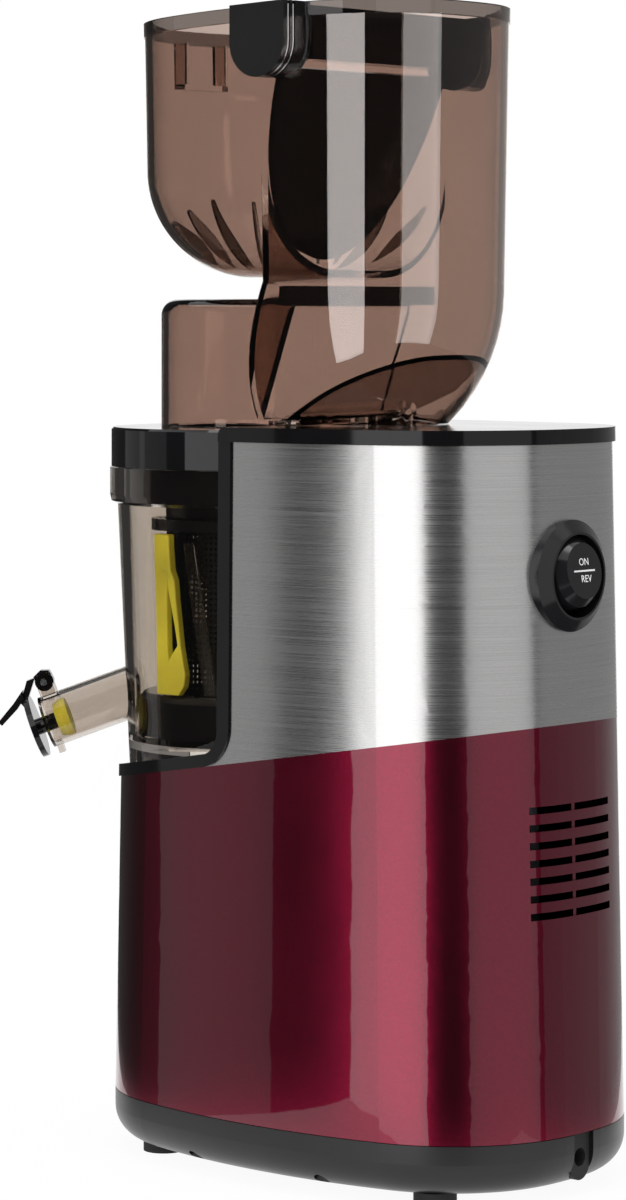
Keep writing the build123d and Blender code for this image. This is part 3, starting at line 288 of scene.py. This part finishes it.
def moulded(name, colour, rough, depth=0.02, scale=2500.0, shade=0.18, **fixed):
    """Moulded piece's finish: colour drifts by shade, roughness spans the pair rough, grain depth in mm."""
    finish = bpy.data.materials.new(name)
    tree, add = shader_tree(finish)
    body = add("ShaderNodeBsdfPrincipled")
    for socket, value in fixed.items():
        body.inputs[socket.replace("_", " ")].default_value = value
    grain = add("ShaderNodeGroup", node_tree=grain_group)
    grain.inputs["Scale"].default_value = scale
    mix = add("ShaderNodeMix", data_type="RGBA")
    mix.inputs["A"].default_value = (*[c * (1 - shade) for c in colour], 1)
    mix.inputs["B"].default_value = (*[min(1.0, c * (1 + shade)) for c in colour], 1)
    tree.links.new(stretch(tree, grain.outputs["Patch"], 0.0, 1.0), mix.inputs["Factor"])
    tree.links.new(mix.outputs["Result"], body.inputs["Base Color"])
    tree.links.new(stretch(tree, grain.outputs["Rub"], *rough), body.inputs["Roughness"])
    bump = add("ShaderNodeBump")
    bump.inputs["Strength"].default_value = 0.6
    bump.inputs["Distance"].default_value = depth * MM
    tree.links.new(grain.outputs["Height"], bump.inputs["Height"])
    tree.links.new(bump.outputs[0], body.inputs["Normal"])
    output = add("ShaderNodeOutputMaterial")
    tree.links.new(body.outputs[0], output.inputs["Surface"])
    return finish


def finish_nodes(material, *names):
    """Gives the material to framed nodes."""
    for name in names:
        mesh = nodes[name].data
        mesh.materials.clear()
        mesh.materials.append(material)


finish_nodes(moulded("base_black", (0.007, 0.007, 0.008), (0.24, 0.36), depth=0.02), "base_tray")
finish_nodes(
    moulded("foot_rubber", (0.012, 0.012, 0.012), (0.7, 0.85), depth=0.05),
    "rubber_feet", "cord_inlet",
)
finish_nodes(
    moulded("screw_zinc", (0.45, 0.46, 0.47), (0.28, 0.42), Metallic=1.0),
    "base_screws", "gearbox_screws", "motor_bolts",
)


def new_piece(name, mesh, finish, body, stands_for=None, rounded=0.0, thick=0.0):
    """Puts a mesh in the scene as a piece of a body; thick and rounded are in metres."""
    piece = bpy.data.objects.new(name, mesh)
    scene.collection.objects.link(piece)
    if thick:
        shell = piece.modifiers.new("thick", "SOLIDIFY")
        shell.thickness = thick
        shell.offset = 0.0
    if rounded:
        edge = piece.modifiers.new("rounded", "BEVEL")
        edge.width = rounded
        edge.segments = 3
        edge.limit_method = "ANGLE"
        edge.angle_limit = radians(35)
    if thick or rounded:
        solid = bpy.data.meshes.new_from_object(piece.evaluated_get(bpy.context.evaluated_depsgraph_get()))
        piece.modifiers.clear()
        piece.data = solid
    piece.data.materials.clear()
    piece.data.materials.append(finish)
    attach(piece, body)
    if stands_for:
        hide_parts(stands_for)
    return piece


# ---- lower shell ----
# ABS shell sprayed deep red with fine metal flake, under a clear gloss coat. Its vents are moulded at
# the back, and it stands on the base tray, which is screwed up into it.
def red_paint():
    finish = bpy.data.materials.new("red_lacquer")
    tree, add = shader_tree(finish)
    body = add("ShaderNodeBsdfPrincipled")
    body.inputs["Metallic"].default_value = 1.0
    body.inputs["Coat Weight"].default_value = 1.0
    body.inputs["Coat Roughness"].default_value = 0.025
    body.inputs["Coat IOR"].default_value = 1.5
    place = add("ShaderNodeTexCoord")
    flakes = add("ShaderNodeTexVoronoi")
    flakes.inputs["Scale"].default_value = 5200.0
    tree.links.new(place.outputs["Object"], flakes.inputs["Vector"])
    flake_tone = add("ShaderNodeSeparateColor")
    tree.links.new(flakes.outputs["Color"], flake_tone.inputs["Color"])
    mix = add("ShaderNodeMix", data_type="RGBA")
    mix.inputs["A"].default_value = (0.15, 0.004, 0.020, 1)
    mix.inputs["B"].default_value = (0.24, 0.008, 0.036, 1)
    tree.links.new(flake_tone.outputs[0], mix.inputs["Factor"])
    tree.links.new(mix.outputs["Result"], body.inputs["Base Color"])
    slow = noise_in(tree, place.outputs["Object"], 22.0, 3.0)
    tree.links.new(stretch(tree, slow, 0.22, 0.27), body.inputs["Roughness"])
    flake_bump = add("ShaderNodeBump")
    flake_bump.inputs["Strength"].default_value = 0.25
    flake_bump.inputs["Distance"].default_value = 0.02 * MM
    tree.links.new(flake_tone.outputs[1], flake_bump.inputs["Height"])
    tree.links.new(flake_bump.outputs[0], body.inputs["Normal"])
    peel = add("ShaderNodeBump")
    peel.inputs["Strength"].default_value = 0.5
    peel.inputs["Distance"].default_value = 0.004 * MM
    tree.links.new(noise_in(tree, place.outputs["Object"], 420.0, 2.0), peel.inputs["Height"])
    tree.links.new(peel.outputs[0], body.inputs["Coat Normal"])
    output = add("ShaderNodeOutputMaterial")
    tree.links.new(body.outputs[0], output.inputs["Surface"])
    return finish


finish_nodes(red_paint(), "lower_shell")


# ---- steel skin of the tower ----
# Thin stainless sheet brushed level all round, wrapped on the plastic core and trapped by the frame.
# The body of the switch, inside, is of the core's plastic.
def brushed_steel(name, tone, rough, across=14.0, along=2600.0):
    finish = bpy.data.materials.new(name)
    tree, add = shader_tree(finish)
    body = add("ShaderNodeBsdfPrincipled")
    body.inputs["Metallic"].default_value = 1.0
    body.inputs["Anisotropic"].default_value = 0.75
    body.inputs["Anisotropic Rotation"].default_value = 0.25
    place = add("ShaderNodeTexCoord")
    lines = add("ShaderNodeMapping")
    lines.inputs["Scale"].default_value = (across, across, along)
    tree.links.new(place.outputs["Object"], lines.inputs["Vector"])
    fine = noise_in(tree, lines.outputs[0], 1.0, 4.0, 0.65)
    mix = add("ShaderNodeMix", data_type="RGBA")
    mix.inputs["A"].default_value = (*[c * 0.80 for c in tone], 1)
    mix.inputs["B"].default_value = (*tone, 1)
    tree.links.new(stretch(tree, fine, 0.0, 1.0), mix.inputs["Factor"])
    tree.links.new(mix.outputs["Result"], body.inputs["Base Color"])
    tree.links.new(stretch(tree, fine, rough[0], rough[1]), body.inputs["Roughness"])
    round_axis = add("ShaderNodeTangent", direction_type="RADIAL", axis="Z")
    tree.links.new(round_axis.outputs[0], body.inputs["Tangent"])
    bump = add("ShaderNodeBump")
    bump.inputs["Strength"].default_value = 0.35
    bump.inputs["Distance"].default_value = 0.01 * MM
    tree.links.new(fine, bump.inputs["Height"])
    tree.links.new(bump.outputs[0], body.inputs["Normal"])
    output = add("ShaderNodeOutputMaterial")
    tree.links.new(body.outputs[0], output.inputs["Surface"])
    return finish


finish_nodes(brushed_steel("wrap_steel", (0.66, 0.655, 0.65), (0.23, 0.33)), "steel_wrap")
finish_nodes(moulded("core_plastic", (0.05, 0.05, 0.05), (0.5, 0.6)), "tower_core", "switch_body")


# ---- black frame, platform, top plate and lid ----
# High-gloss black ABS, polished in the tool: the frame runs up the tower and along under the bowl, the
# plate closes the tower's top, and the lid closes the bowl.
piano = moulded(
    "piano_black", (0.004, 0.004, 0.0045), (0.04, 0.10), depth=0.0015, scale=380.0, Specular_IOR_Level=0.36
)
finish_nodes(piano, "bezel_liner", "top_plate", "lid_ring")


# ---- rocker switch ----
# Round bezel pressed into the tower, with a button that rocks in it. ON and REV are pad-printed in
# white on the button's face, with a bar between them.
finish_nodes(
    moulded("switch_black", (0.008, 0.008, 0.009), (0.10, 0.2), depth=0.004),
    "switch_bezel", "rocker_button",
)
print_size, print_rise = 4.2, 0.8
bar_long, bar_wide = 14.0 * MM, 0.7 * MM
crown_flat = 0.01 * MM
print_thick = 0.06 * MM
print_ink = moulded("print_white", (0.74, 0.75, 0.75), (0.4, 0.55), depth=0.004)
button = nodes["rocker_button"].data
crown = max((p for p in button.polygons if p.normal.y > 0.9), key=lambda p: p.area)
crown_points = [
    button.vertices[v].co
    for p in button.polygons
    if p.normal.dot(crown.normal) > 0.9999 and abs((p.center - crown.center).dot(crown.normal)) < crown_flat
    for v in p.vertices
]
crown_low, crown_high = (Vector(f(p[i] for p in crown_points) for i in range(3)) for f in (min, max))
crown_middle = (crown_low + crown_high) / 2
print_right = Vector((-1, 0, 0))
print_up = crown.normal.cross(print_right)
print_frame = Matrix((print_right, print_up, crown.normal)).transposed().to_4x4()
print_frame.translation = crown_middle
for word, side, rise in (("ON", 0.2, 2.8), ("REV", 0.8, -4.2)):
    text = bpy.data.curves.new("print_" + word, "FONT")
    text.body = word
    text.size = print_size * MM
    text.align_x, text.align_y = "CENTER", "CENTER"
    text.extrude = print_thick / 2
    text.resolution_u = 4
    holder = bpy.data.objects.new("print_" + word, text)
    letters = bpy.data.meshes.new_from_object(holder)
    bpy.data.objects.remove(holder)
    place = Matrix.Translation((side * MM, (rise + print_rise) * MM, print_thick / 2))
    letters.transform(print_frame @ place)
    new_piece("switch_print_" + word.lower(), letters, print_ink, "rocker")
bar_mesh = bpy.data.meshes.new("print_bar")
shape = bmesh.new()
bmesh.ops.create_cube(shape, size=1.0)
shape.transform(
    print_frame
    @ Matrix.Translation((0, 0, print_thick / 2))
    @ Matrix.Diagonal((bar_long, bar_wide, print_thick, 1))
)
shape.to_mesh(bar_mesh)
shape.free()
new_piece("switch_print_bar", bar_mesh, print_ink, "rocker")


# ---- bowl, hopper and spouts ----
# Clear smoke-tinted copolyester, injection moulded with polished walls about 3 mm thick. The bowl has
# its spouts moulded on, and the hopper, with a darker rim, stands on the bowl's lid.
def smoke_clear(name, tint, shade_tint, rough=(0.005, 0.03)):
    finish = bpy.data.materials.new(name)
    tree, add = shader_tree(finish)
    body = add("ShaderNodeBsdfPrincipled")
    body.inputs["Transmission Weight"].default_value = 1.0
    body.inputs["IOR"].default_value = 1.46
    place = add("ShaderNodeTexCoord")
    mix = add("ShaderNodeMix", data_type="RGBA")
    mix.inputs["A"].default_value = (*[c * 0.96 for c in tint], 1)
    mix.inputs["B"].default_value = (*tint, 1)
    drift = noise_in(tree, place.outputs["Object"], 30.0)
    tree.links.new(stretch(tree, drift, 0.0, 1.0), mix.inputs["Factor"])
    tree.links.new(mix.outputs["Result"], body.inputs["Base Color"])
    handling = noise_in(tree, place.outputs["Object"], 18.0, 5.0)
    tree.links.new(stretch(tree, handling, *rough), body.inputs["Roughness"])
    bump = add("ShaderNodeBump")
    bump.inputs["Strength"].default_value = 0.3
    bump.inputs["Distance"].default_value = 0.004 * MM
    tree.links.new(noise_in(tree, place.outputs["Object"], 90.0, 2.0), bump.inputs["Height"])
    tree.links.new(bump.outputs[0], body.inputs["Normal"])
    let_through = add("ShaderNodeBsdfTransparent")
    let_through.inputs["Color"].default_value = (*shade_tint, 1)
    path = add("ShaderNodeLightPath")
    either = add("ShaderNodeMath", operation="MAXIMUM")
    tree.links.new(path.outputs["Is Shadow Ray"], either.inputs[0])
    tree.links.new(path.outputs["Is Diffuse Ray"], either.inputs[1])
    mix_light = add("ShaderNodeMixShader")
    tree.links.new(either.outputs[0], mix_light.inputs[0])
    tree.links.new(body.outputs[0], mix_light.inputs[1])
    tree.links.new(let_through.outputs[0], mix_light.inputs[2])
    output = add("ShaderNodeOutputMaterial")
    tree.links.new(mix_light.outputs[0], output.inputs["Surface"])
    return finish


def smoothed(node, angle_deg):
    """Copy of a framed node's mesh, welded and shaded smooth up to an angle."""
    welded = bmesh.new()
    welded.from_mesh(nodes[node].data)
    bmesh.ops.remove_doubles(welded, verts=welded.verts, dist=0.001 * MM)
    for face in welded.faces:
        face.smooth = True
    for edge in welded.edges:
        edge.smooth = edge.calc_face_angle(pi) < radians(angle_deg)
    mesh = bpy.data.meshes.new(node + "_smooth")
    welded.to_mesh(mesh)
    welded.free()
    return mesh


hopper_smoke = smoke_clear("hopper_smoke", (0.53, 0.41, 0.355), (0.72, 0.65, 0.60))
hopper_shell = new_piece("hopper_shell", smoothed("hopper", 28.0), hopper_smoke, "hopper_unit", "hopper")
for lamps, state, receivers in (
    (body_lights, "EXCLUDE", (hopper_shell, nodes["bowl"])),
    (clear_lights, "INCLUDE", (hopper_shell,)),
    (bowl_lights, "INCLUDE", (nodes["bowl"], nodes["lid_ring"])),
):
    linked = bpy.data.collections.new("lit_by_" + lamps[0].name)
    for receiver in receivers:
        linked.objects.link(receiver)
    for item in linked.collection_objects:
        item.light_linking.link_state = state
    for lamp in lamps:
        lamp.light_linking.receiver_collection = linked

# Curved fins stand on the floor of the front chamber and lead the fruit towards the neck.
hopper_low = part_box("hopper")[0]
tub_middle_y = hopper_low.y + 80.5 * MM
fin_reach_x, fin_reach_y = 59.0 * MM, 73.5 * MM
fin_end_x, fin_end_y = 14.0 * MM, tub_middle_y - 15.5 * MM
fin_from = 440.0 * MM
fin_height, fin_least, fin_root = 3.4 * MM, 0.1 * MM, 0.2 * MM
fin_steps = 14
fin_turns = (
    (-36, 0.48), (-22, 0.55), (-8, 0.74), (10, 0.5), (216, 0.48), (202, 0.55), (188, 0.74), (170, 0.5),
)
floor_tree = BVHTree.FromPolygons(
    [v.co for v in hopper_shell.data.vertices], [p.vertices[:] for p in hopper_shell.data.polygons]
)
fin_mesh = bpy.data.meshes.new("hopper_fins")
fins = bmesh.new()
for turn_deg, share in fin_turns:
    turn = radians(turn_deg)
    start = Vector((fin_reach_x * cos(turn), tub_middle_y + fin_reach_y * sin(turn), 0))
    finish_at = Vector((fin_end_x if cos(turn) > 0 else -fin_end_x, fin_end_y, 0))
    feet, tips = [], []
    for step in range(fin_steps + 1):
        along = step / fin_steps
        spot = start.lerp(finish_at, share * along)
        hit = floor_tree.ray_cast(Vector((spot.x, spot.y, fin_from)), Vector((0, 0, -1)))[0]
        lift = fin_height * sin(pi * min(1.0, 0.04 + along) ** 0.8)
        feet.append(hit - Vector((0, 0, fin_root)))
        tips.append(hit + Vector((0, 0, max(lift, fin_least))) + (finish_at - start).normalized() * lift)
    foot_verts, tip_verts = [fins.verts.new(p) for p in feet], [fins.verts.new(p) for p in tips]
    for step in range(fin_steps):
        fins.faces.new((foot_verts[step], foot_verts[step + 1], tip_verts[step + 1], tip_verts[step]))
fins.to_mesh(fin_mesh)
fins.free()
# The fins are of the hopper's own plastic, but their smoke is tinted far darker: painted shade for the dark
# lines that their edges show.
fin_smoke_painted_shade = smoke_clear("fin_smoke_painted_shade", (0.16, 0.12, 0.10), (0.4, 0.35, 0.32))
new_piece("hopper_fins", fin_mesh, fin_smoke_painted_shade, "hopper_unit", thick=1.5 * MM)
finish_nodes(smoke_clear("bowl_smoke", (0.66, 0.60, 0.54), (0.86, 0.83, 0.80)), "bowl")
finish_nodes(
    smoke_clear("rim_smoke", (0.20, 0.16, 0.14), (0.44, 0.40, 0.38)),
    "hopper_rim_front", "hopper_rim_back",
)

# The bowl's foot is a black ring under its floor, round the drive pocket.
seal_low, seal_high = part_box("bowl_seal")
ring_middle_y = (seal_low.y + seal_high.y) / 2
ring_outer, ring_inner, ring_sides = 51.8 * MM, 46.0 * MM, 96
ring_low, ring_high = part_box("bowl")[0].z + 0.6 * MM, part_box("bowl")[0].z + 6.5 * MM
ring_mesh = bpy.data.meshes.new("bowl_base_ring")
ring = bmesh.new()
loops = []
for reach, z in (
    (ring_outer, ring_low), (ring_outer, ring_high), (ring_inner, ring_high), (ring_inner, ring_low),
):
    turns = [2 * pi * step / ring_sides for step in range(ring_sides)]
    loops.append([ring.verts.new((reach * cos(a), ring_middle_y + reach * sin(a), z)) for a in turns])
for first, second in zip(loops, loops[1:] + loops[:1]):
    for step in range(ring_sides):
        after = (step + 1) % ring_sides
        ring.faces.new((first[step], first[after], second[after], second[step]))
bmesh.ops.recalc_face_normals(ring, faces=ring.faces)
ring.to_mesh(ring_mesh)
ring.free()
new_piece("bowl_base_ring", ring_mesh, piano, "bowl_unit", rounded=0.8 * MM)


# ---- gate ----
# Gloss black polycarbonate flap on steel pins in two side blocks, under a cross bar; the blocks hang
# over the hopper's rim. A bar of the same black crosses the hopper's neck.
gate_black = moulded(
    "gate_black", (0.004, 0.004, 0.004), (0.08, 0.16), depth=0.003, scale=500.0, Specular_IOR_Level=0.4
)
finish_nodes(gate_black, "gate_boss_right", "gate_boss_left", "gate_crossbar", "gate_flap", "throat_bar")
polished = moulded("pin_chrome", (0.75, 0.75, 0.76), (0.06, 0.14), Metallic=1.0)
finish_nodes(polished, "gate_pins", "cap_hinge_pin", "idler_pins", "gate_spring")


def wire(name, path, radius, finish, body):
    """Round wire along points."""
    line = bpy.data.curves.new(name, "CURVE")
    line.dimensions = "3D"
    line.bevel_depth = radius
    line.bevel_resolution = 3
    line.use_fill_caps = True
    strand = line.splines.new("POLY")
    strand.points.add(len(path) - 1)
    for point, place in zip(strand.points, path):
        point.co = (*place, 1)
    holder = bpy.data.objects.new(name, line)
    mesh = bpy.data.meshes.new_from_object(holder)
    bpy.data.objects.remove(holder)
    for face in mesh.polygons:
        face.use_smooth = True
    return new_piece(name, mesh, finish, body)


# Two bright wires lie in the grooves of each side block.
trim_radius, trim_thick = 14.3 * MM, 0.6 * MM
trim_from_face, trim_apart = 3.6, 3.2
for side_name, side in (("right", 1), ("left", -1)):
    block_low, block_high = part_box("gate_boss_" + side_name)
    hinge_y, hinge_z = (block_low.y + block_high.y) / 2, block_low.z + 15.0 * MM
    outer_x = block_high.x if side > 0 else block_low.x
    for number in range(2):
        x = outer_x - side * (trim_from_face + trim_apart * number) * MM
        bend = [radians(a) for a in range(180, 361, 6)]
        arc = [(x, hinge_y + trim_radius * cos(a), hinge_z + trim_radius * sin(a)) for a in bend]
        top = block_high.z - 1.6 * MM
        path = [(x, arc[0][1], top), *arc, (x, arc[-1][1], top)]
        wire(f"gate_trim_{side_name}_{number + 1}", path, trim_thick, polished, "hopper_unit")


# ---- spout cap ----
# Black lever cap on a steel pin, with a lime silicone plug that it presses into the spout's mouth. The
# wiper's blades and the plug of the pulp outlet are of the same silicone.
finish_nodes(piano, "juice_cap_lever")
silicone = moulded(
    "lime_silicone", (0.80, 0.74, 0.05), (0.38, 0.5), depth=0.01,
    Subsurface_Weight=0.25, Subsurface_Scale=0.004,
)
finish_nodes(silicone, "juice_cap_plug", "wiper_blades", "pulp_plug")


# ---- wiper blades ----
# Lime silicone blades clipped into the wiper's uprights, each with a long slot. A clear strut leans
# beside each one, on a smaller circle.
blade_low, blade_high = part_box("wiper_blades")
wiper_low, wiper_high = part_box("wiper_frame")
bowl_axis = Vector((0, (wiper_low.y + wiper_high.y) / 2, 0))
blade_base = blade_low.z
blade_reach, strut_reach = 48.6 * MM, 44.0 * MM
blade_start_deg, blade_count = -7.0, 3


def wrapped_sheet(rows, radius, start_deg):
    """Strips wrapped on an upright cylinder; a row is height, left, slot left, slot right, right in mm."""
    sheet = bmesh.new()
    grid = []
    for height, *across in rows:
        line = []
        for shift in across:
            turn = radians(start_deg) + shift * MM / radius
            place = Vector((radius * cos(turn), radius * sin(turn), blade_base + height * MM))
            line.append(bowl_axis + place)
        grid.append([sheet.verts.new(p) for p in line])
    for (low_row, low), (high_row, high) in zip(zip(rows, grid), zip(rows[1:], grid[1:])):
        for column in (0, 2):
            sheet.faces.new((low[column], low[column + 1], high[column + 1], high[column]))
    bmesh.ops.remove_doubles(sheet, verts=sheet.verts, dist=0.02 * MM)
    mesh = bpy.data.meshes.new("wrapped_sheet")
    sheet.to_mesh(mesh)
    sheet.free()
    return mesh


blade_rows = (
    (0.0, -5.7, 1.2, 1.2, 7.6), (4.0, -5.8, 1.4, 1.4, 10.6), (9.0, -5.8, 1.7, 1.7, 11.4),
    (15.0, -5.9, 1.9, 1.9, 10.2), (21.7, -5.9, 1.2, 7.0, 8.9), (30.0, -6.0, 1.0, 5.6, 7.9),
    (42.0, -6.6, 0.6, 2.8, 6.3), (50.0, -7.0, 0.9, 0.9, 5.6),
    (54.0, -7.4, -2.0, -2.0, 3.6), (64.0, -7.6, -2.6, -2.6, 2.6), (69.8, -7.6, -2.6, -2.6, 2.4),
)
strut_lean, strut_across = 0.165, (15.5, 18.0, 18.0, 21.5)
strut_rows = tuple((h, *(across - strut_lean * h for across in strut_across)) for h in range(0, 70, 6))
strut_clear = smoke_clear("strut_smoke", (0.70, 0.68, 0.66), (0.8, 0.78, 0.76), rough=(0.12, 0.2))
blade_parts = bmesh.new()
strut_parts = bmesh.new()
for number in range(blade_count):
    start_deg = blade_start_deg + 360.0 / blade_count * number
    blade_parts.from_mesh(wrapped_sheet(blade_rows, blade_reach, start_deg))
    strut_parts.from_mesh(wrapped_sheet(strut_rows, strut_reach, start_deg))
for parts, name, finish, stands_for, depth in (
    (blade_parts, "wiper_blade_set", silicone, "wiper_blades", 3.4),
    (strut_parts, "wiper_struts", strut_clear, None, 1.8),
):
    mesh = bpy.data.meshes.new(name)
    parts.to_mesh(mesh)
    parts.free()
    new_piece(name, mesh, finish, "wiper", stands_for, rounded=0.6 * MM, thick=depth * MM)


# ---- strainer, wiper and auger ----
# The strainer's drum is thin steel punched all over with holes and rolled up in a black frame. The
# wiper turns round it and the auger in it, and silicone seals close the lid, the bowl and the shaft.
wiper_black = moulded(
    "wiper_black", (0.005, 0.005, 0.006), (0.14, 0.24), depth=0.004, Specular_IOR_Level=0.4
)
finish_nodes(wiper_black, "strainer_frame", "wiper_frame")
# The drum's steel is toned far darker than bare steel: painted shade for the dim inside of the bowl behind
# its holes.
strainer_steel_painted_shade = brushed_steel("strainer_steel_painted_shade", (0.055, 0.055, 0.055), (0.34, 0.44))
finish_nodes(strainer_steel_painted_shade, "strainer_mesh")


def perforated_drum():
    """Node tree: a grid of holed cells rolled into a drum; lengths in metres."""
    drum = bpy.data.node_groups.new("perforated_drum", "GeometryNodeTree")
    drum.interface.new_socket("Geometry", in_out="OUTPUT", socket_type="NodeSocketGeometry")
    for label, kind in (
        ("Radius", "NodeSocketFloat"), ("Height", "NodeSocketFloat"), ("Columns", "NodeSocketInt"),
        ("Rows", "NodeSocketInt"), ("Hole", "NodeSocketFloat"), ("Centre", "NodeSocketVector"),
        ("Finish", "NodeSocketMaterial"),
    ):
        drum.interface.new_socket(label, in_out="INPUT", socket_type=kind)
    given, made = drum.nodes.new("NodeGroupInput"), drum.nodes.new("NodeGroupOutput")

    def put(kind, **values):
        node = drum.nodes.new(kind)
        for name, value in values.items():
            setattr(node, name, value)
        return node

    def reckon(operation, first, second=None):
        node = put("ShaderNodeMath", operation=operation)
        for slot, value in zip(node.inputs, (first, second)):
            if isinstance(value, (int, float)):
                slot.default_value = value
            elif value is not None:
                drum.links.new(value, slot)
        return node.outputs[0]

    grid = put("GeometryNodeMeshGrid")
    drum.links.new(reckon("MULTIPLY", given.outputs["Radius"], 2 * pi), grid.inputs["Size X"])
    drum.links.new(given.outputs["Height"], grid.inputs["Size Y"])
    drum.links.new(given.outputs["Columns"], grid.inputs["Vertices X"])
    drum.links.new(given.outputs["Rows"], grid.inputs["Vertices Y"])
    raised = put("GeometryNodeExtrudeMesh", mode="FACES")
    raised.inputs["Offset Scale"].default_value = 0.0
    raised.inputs["Individual"].default_value = True
    drum.links.new(grid.outputs["Mesh"], raised.inputs["Mesh"])
    shrunk = put("GeometryNodeScaleElements", domain="FACE")
    drum.links.new(raised.outputs["Mesh"], shrunk.inputs["Geometry"])
    drum.links.new(raised.outputs["Top"], shrunk.inputs["Selection"])
    drum.links.new(given.outputs["Hole"], shrunk.inputs["Scale"])
    holed = put("GeometryNodeDeleteGeometry", domain="FACE")
    drum.links.new(shrunk.outputs["Geometry"], holed.inputs["Geometry"])
    drum.links.new(raised.outputs["Top"], holed.inputs["Selection"])
    place, apart = put("GeometryNodeInputPosition"), put("ShaderNodeSeparateXYZ")
    joined = put("ShaderNodeCombineXYZ")
    drum.links.new(place.outputs[0], apart.inputs[0])
    turn = reckon("DIVIDE", apart.outputs[0], given.outputs["Radius"])
    drum.links.new(reckon("MULTIPLY", reckon("COSINE", turn), given.outputs["Radius"]), joined.inputs[0])
    drum.links.new(reckon("MULTIPLY", reckon("SINE", turn), given.outputs["Radius"]), joined.inputs[1])
    drum.links.new(apart.outputs[1], joined.inputs[2])
    centred = put("ShaderNodeVectorMath", operation="ADD")
    drum.links.new(joined.outputs[0], centred.inputs[0])
    drum.links.new(given.outputs["Centre"], centred.inputs[1])
    rolled = put("GeometryNodeSetPosition")
    drum.links.new(holed.outputs[0], rolled.inputs["Geometry"])
    drum.links.new(centred.outputs[0], rolled.inputs["Position"])
    seam = put("GeometryNodeMergeByDistance")
    seam.inputs["Distance"].default_value = 0.01 * MM
    drum.links.new(rolled.outputs[0], seam.inputs[0])
    real, dressed = put("GeometryNodeRealizeInstances"), put("GeometryNodeSetMaterial")
    drum.links.new(seam.outputs[0], real.inputs[0])
    drum.links.new(real.outputs[0], dressed.inputs["Geometry"])
    drum.links.new(given.outputs["Finish"], dressed.inputs["Material"])
    drum.links.new(dressed.outputs[0], made.inputs[0])
    return drum


mesh_low, mesh_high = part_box("strainer_mesh")
drum_thick = 0.4 * MM
drum_inset = 0.3 * MM
drum_radius = (mesh_high.x - mesh_low.x) / 2 - drum_inset
drum_height = mesh_high.z - mesh_low.z
hole_pitch, hole_share = 2.4 * MM, 0.52
holder = bpy.data.objects.new("strainer_drum", bpy.data.meshes.new("strainer_drum"))
scene.collection.objects.link(holder)
roll = holder.modifiers.new("perforated_drum", "NODES")
roll.node_group = perforated_drum()
sizes_in = {
    "Radius": drum_radius, "Height": drum_height, "Columns": round(2 * pi * drum_radius / hole_pitch) + 1,
    "Rows": round(drum_height / hole_pitch) + 1, "Hole": hole_share,
    "Centre": bowl_axis + Vector((0, 0, (mesh_low.z + mesh_high.z) / 2)), "Finish": strainer_steel_painted_shade,
}
for item in roll.node_group.interface.items_tree:
    if item.in_out == "INPUT":
        roll[item.identifier] = sizes_in[item.name]
drum_mesh = bpy.data.meshes.new_from_object(holder.evaluated_get(bpy.context.evaluated_depsgraph_get()))
bpy.data.objects.remove(holder)
new_piece("strainer_drum", drum_mesh, strainer_steel_painted_shade, "bowl_unit", "strainer_mesh", thick=drum_thick)
finish_nodes(moulded("auger_resin", (0.035, 0.030, 0.028), (0.3, 0.42)), "auger")
finish_nodes(
    moulded("turned_steel", (0.42, 0.42, 0.43), (0.25, 0.36), Metallic=1.0),
    "auger_socket", "output_gear", "gear_axles", "motor_rotor",
)
finish_nodes(moulded("seal_grey", (0.10, 0.10, 0.10), (0.5, 0.62)), "lid_gasket", "bowl_seal", "shaft_seal")


# ---- gearbox and motor ----
# Nylon wheels on steel axles in a screwed nylon box, with bronze bushes for the output shaft, driven
# by an induction motor with its fan, board and capacitor, all inside the tower and the shell. The
# bowl's two idlers are of the same nylon.
finish_nodes(
    moulded("gear_nylon", (0.70, 0.68, 0.60), (0.4, 0.5)),
    "first_gear", "second_gear", "idler_gear_right", "idler_gear_left",
)
finish_nodes(moulded("gearbox_nylon", (0.06, 0.06, 0.065), (0.45, 0.58)), "gearbox_housing", "gearbox_cover")
finish_nodes(
    moulded("bronze_bush", (0.42, 0.25, 0.10), (0.4, 0.5), Metallic=1.0),
    "lower_bearing", "upper_bearing",
)
finish_nodes(moulded("motor_grey", (0.16, 0.16, 0.17), (0.35, 0.45)), "motor_can")
finish_nodes(moulded("motor_iron", (0.22, 0.22, 0.23), (0.5, 0.65), Metallic=0.8), "motor_stator")
finish_nodes(moulded("fan_plastic", (0.05, 0.05, 0.05), (0.45, 0.55)), "cooling_fan")
finish_nodes(moulded("board_green", (0.015, 0.14, 0.05), (0.3, 0.45)), "control_board")
finish_nodes(moulded("capacitor_white", (0.72, 0.72, 0.70), (0.3, 0.4)), "run_capacitor")
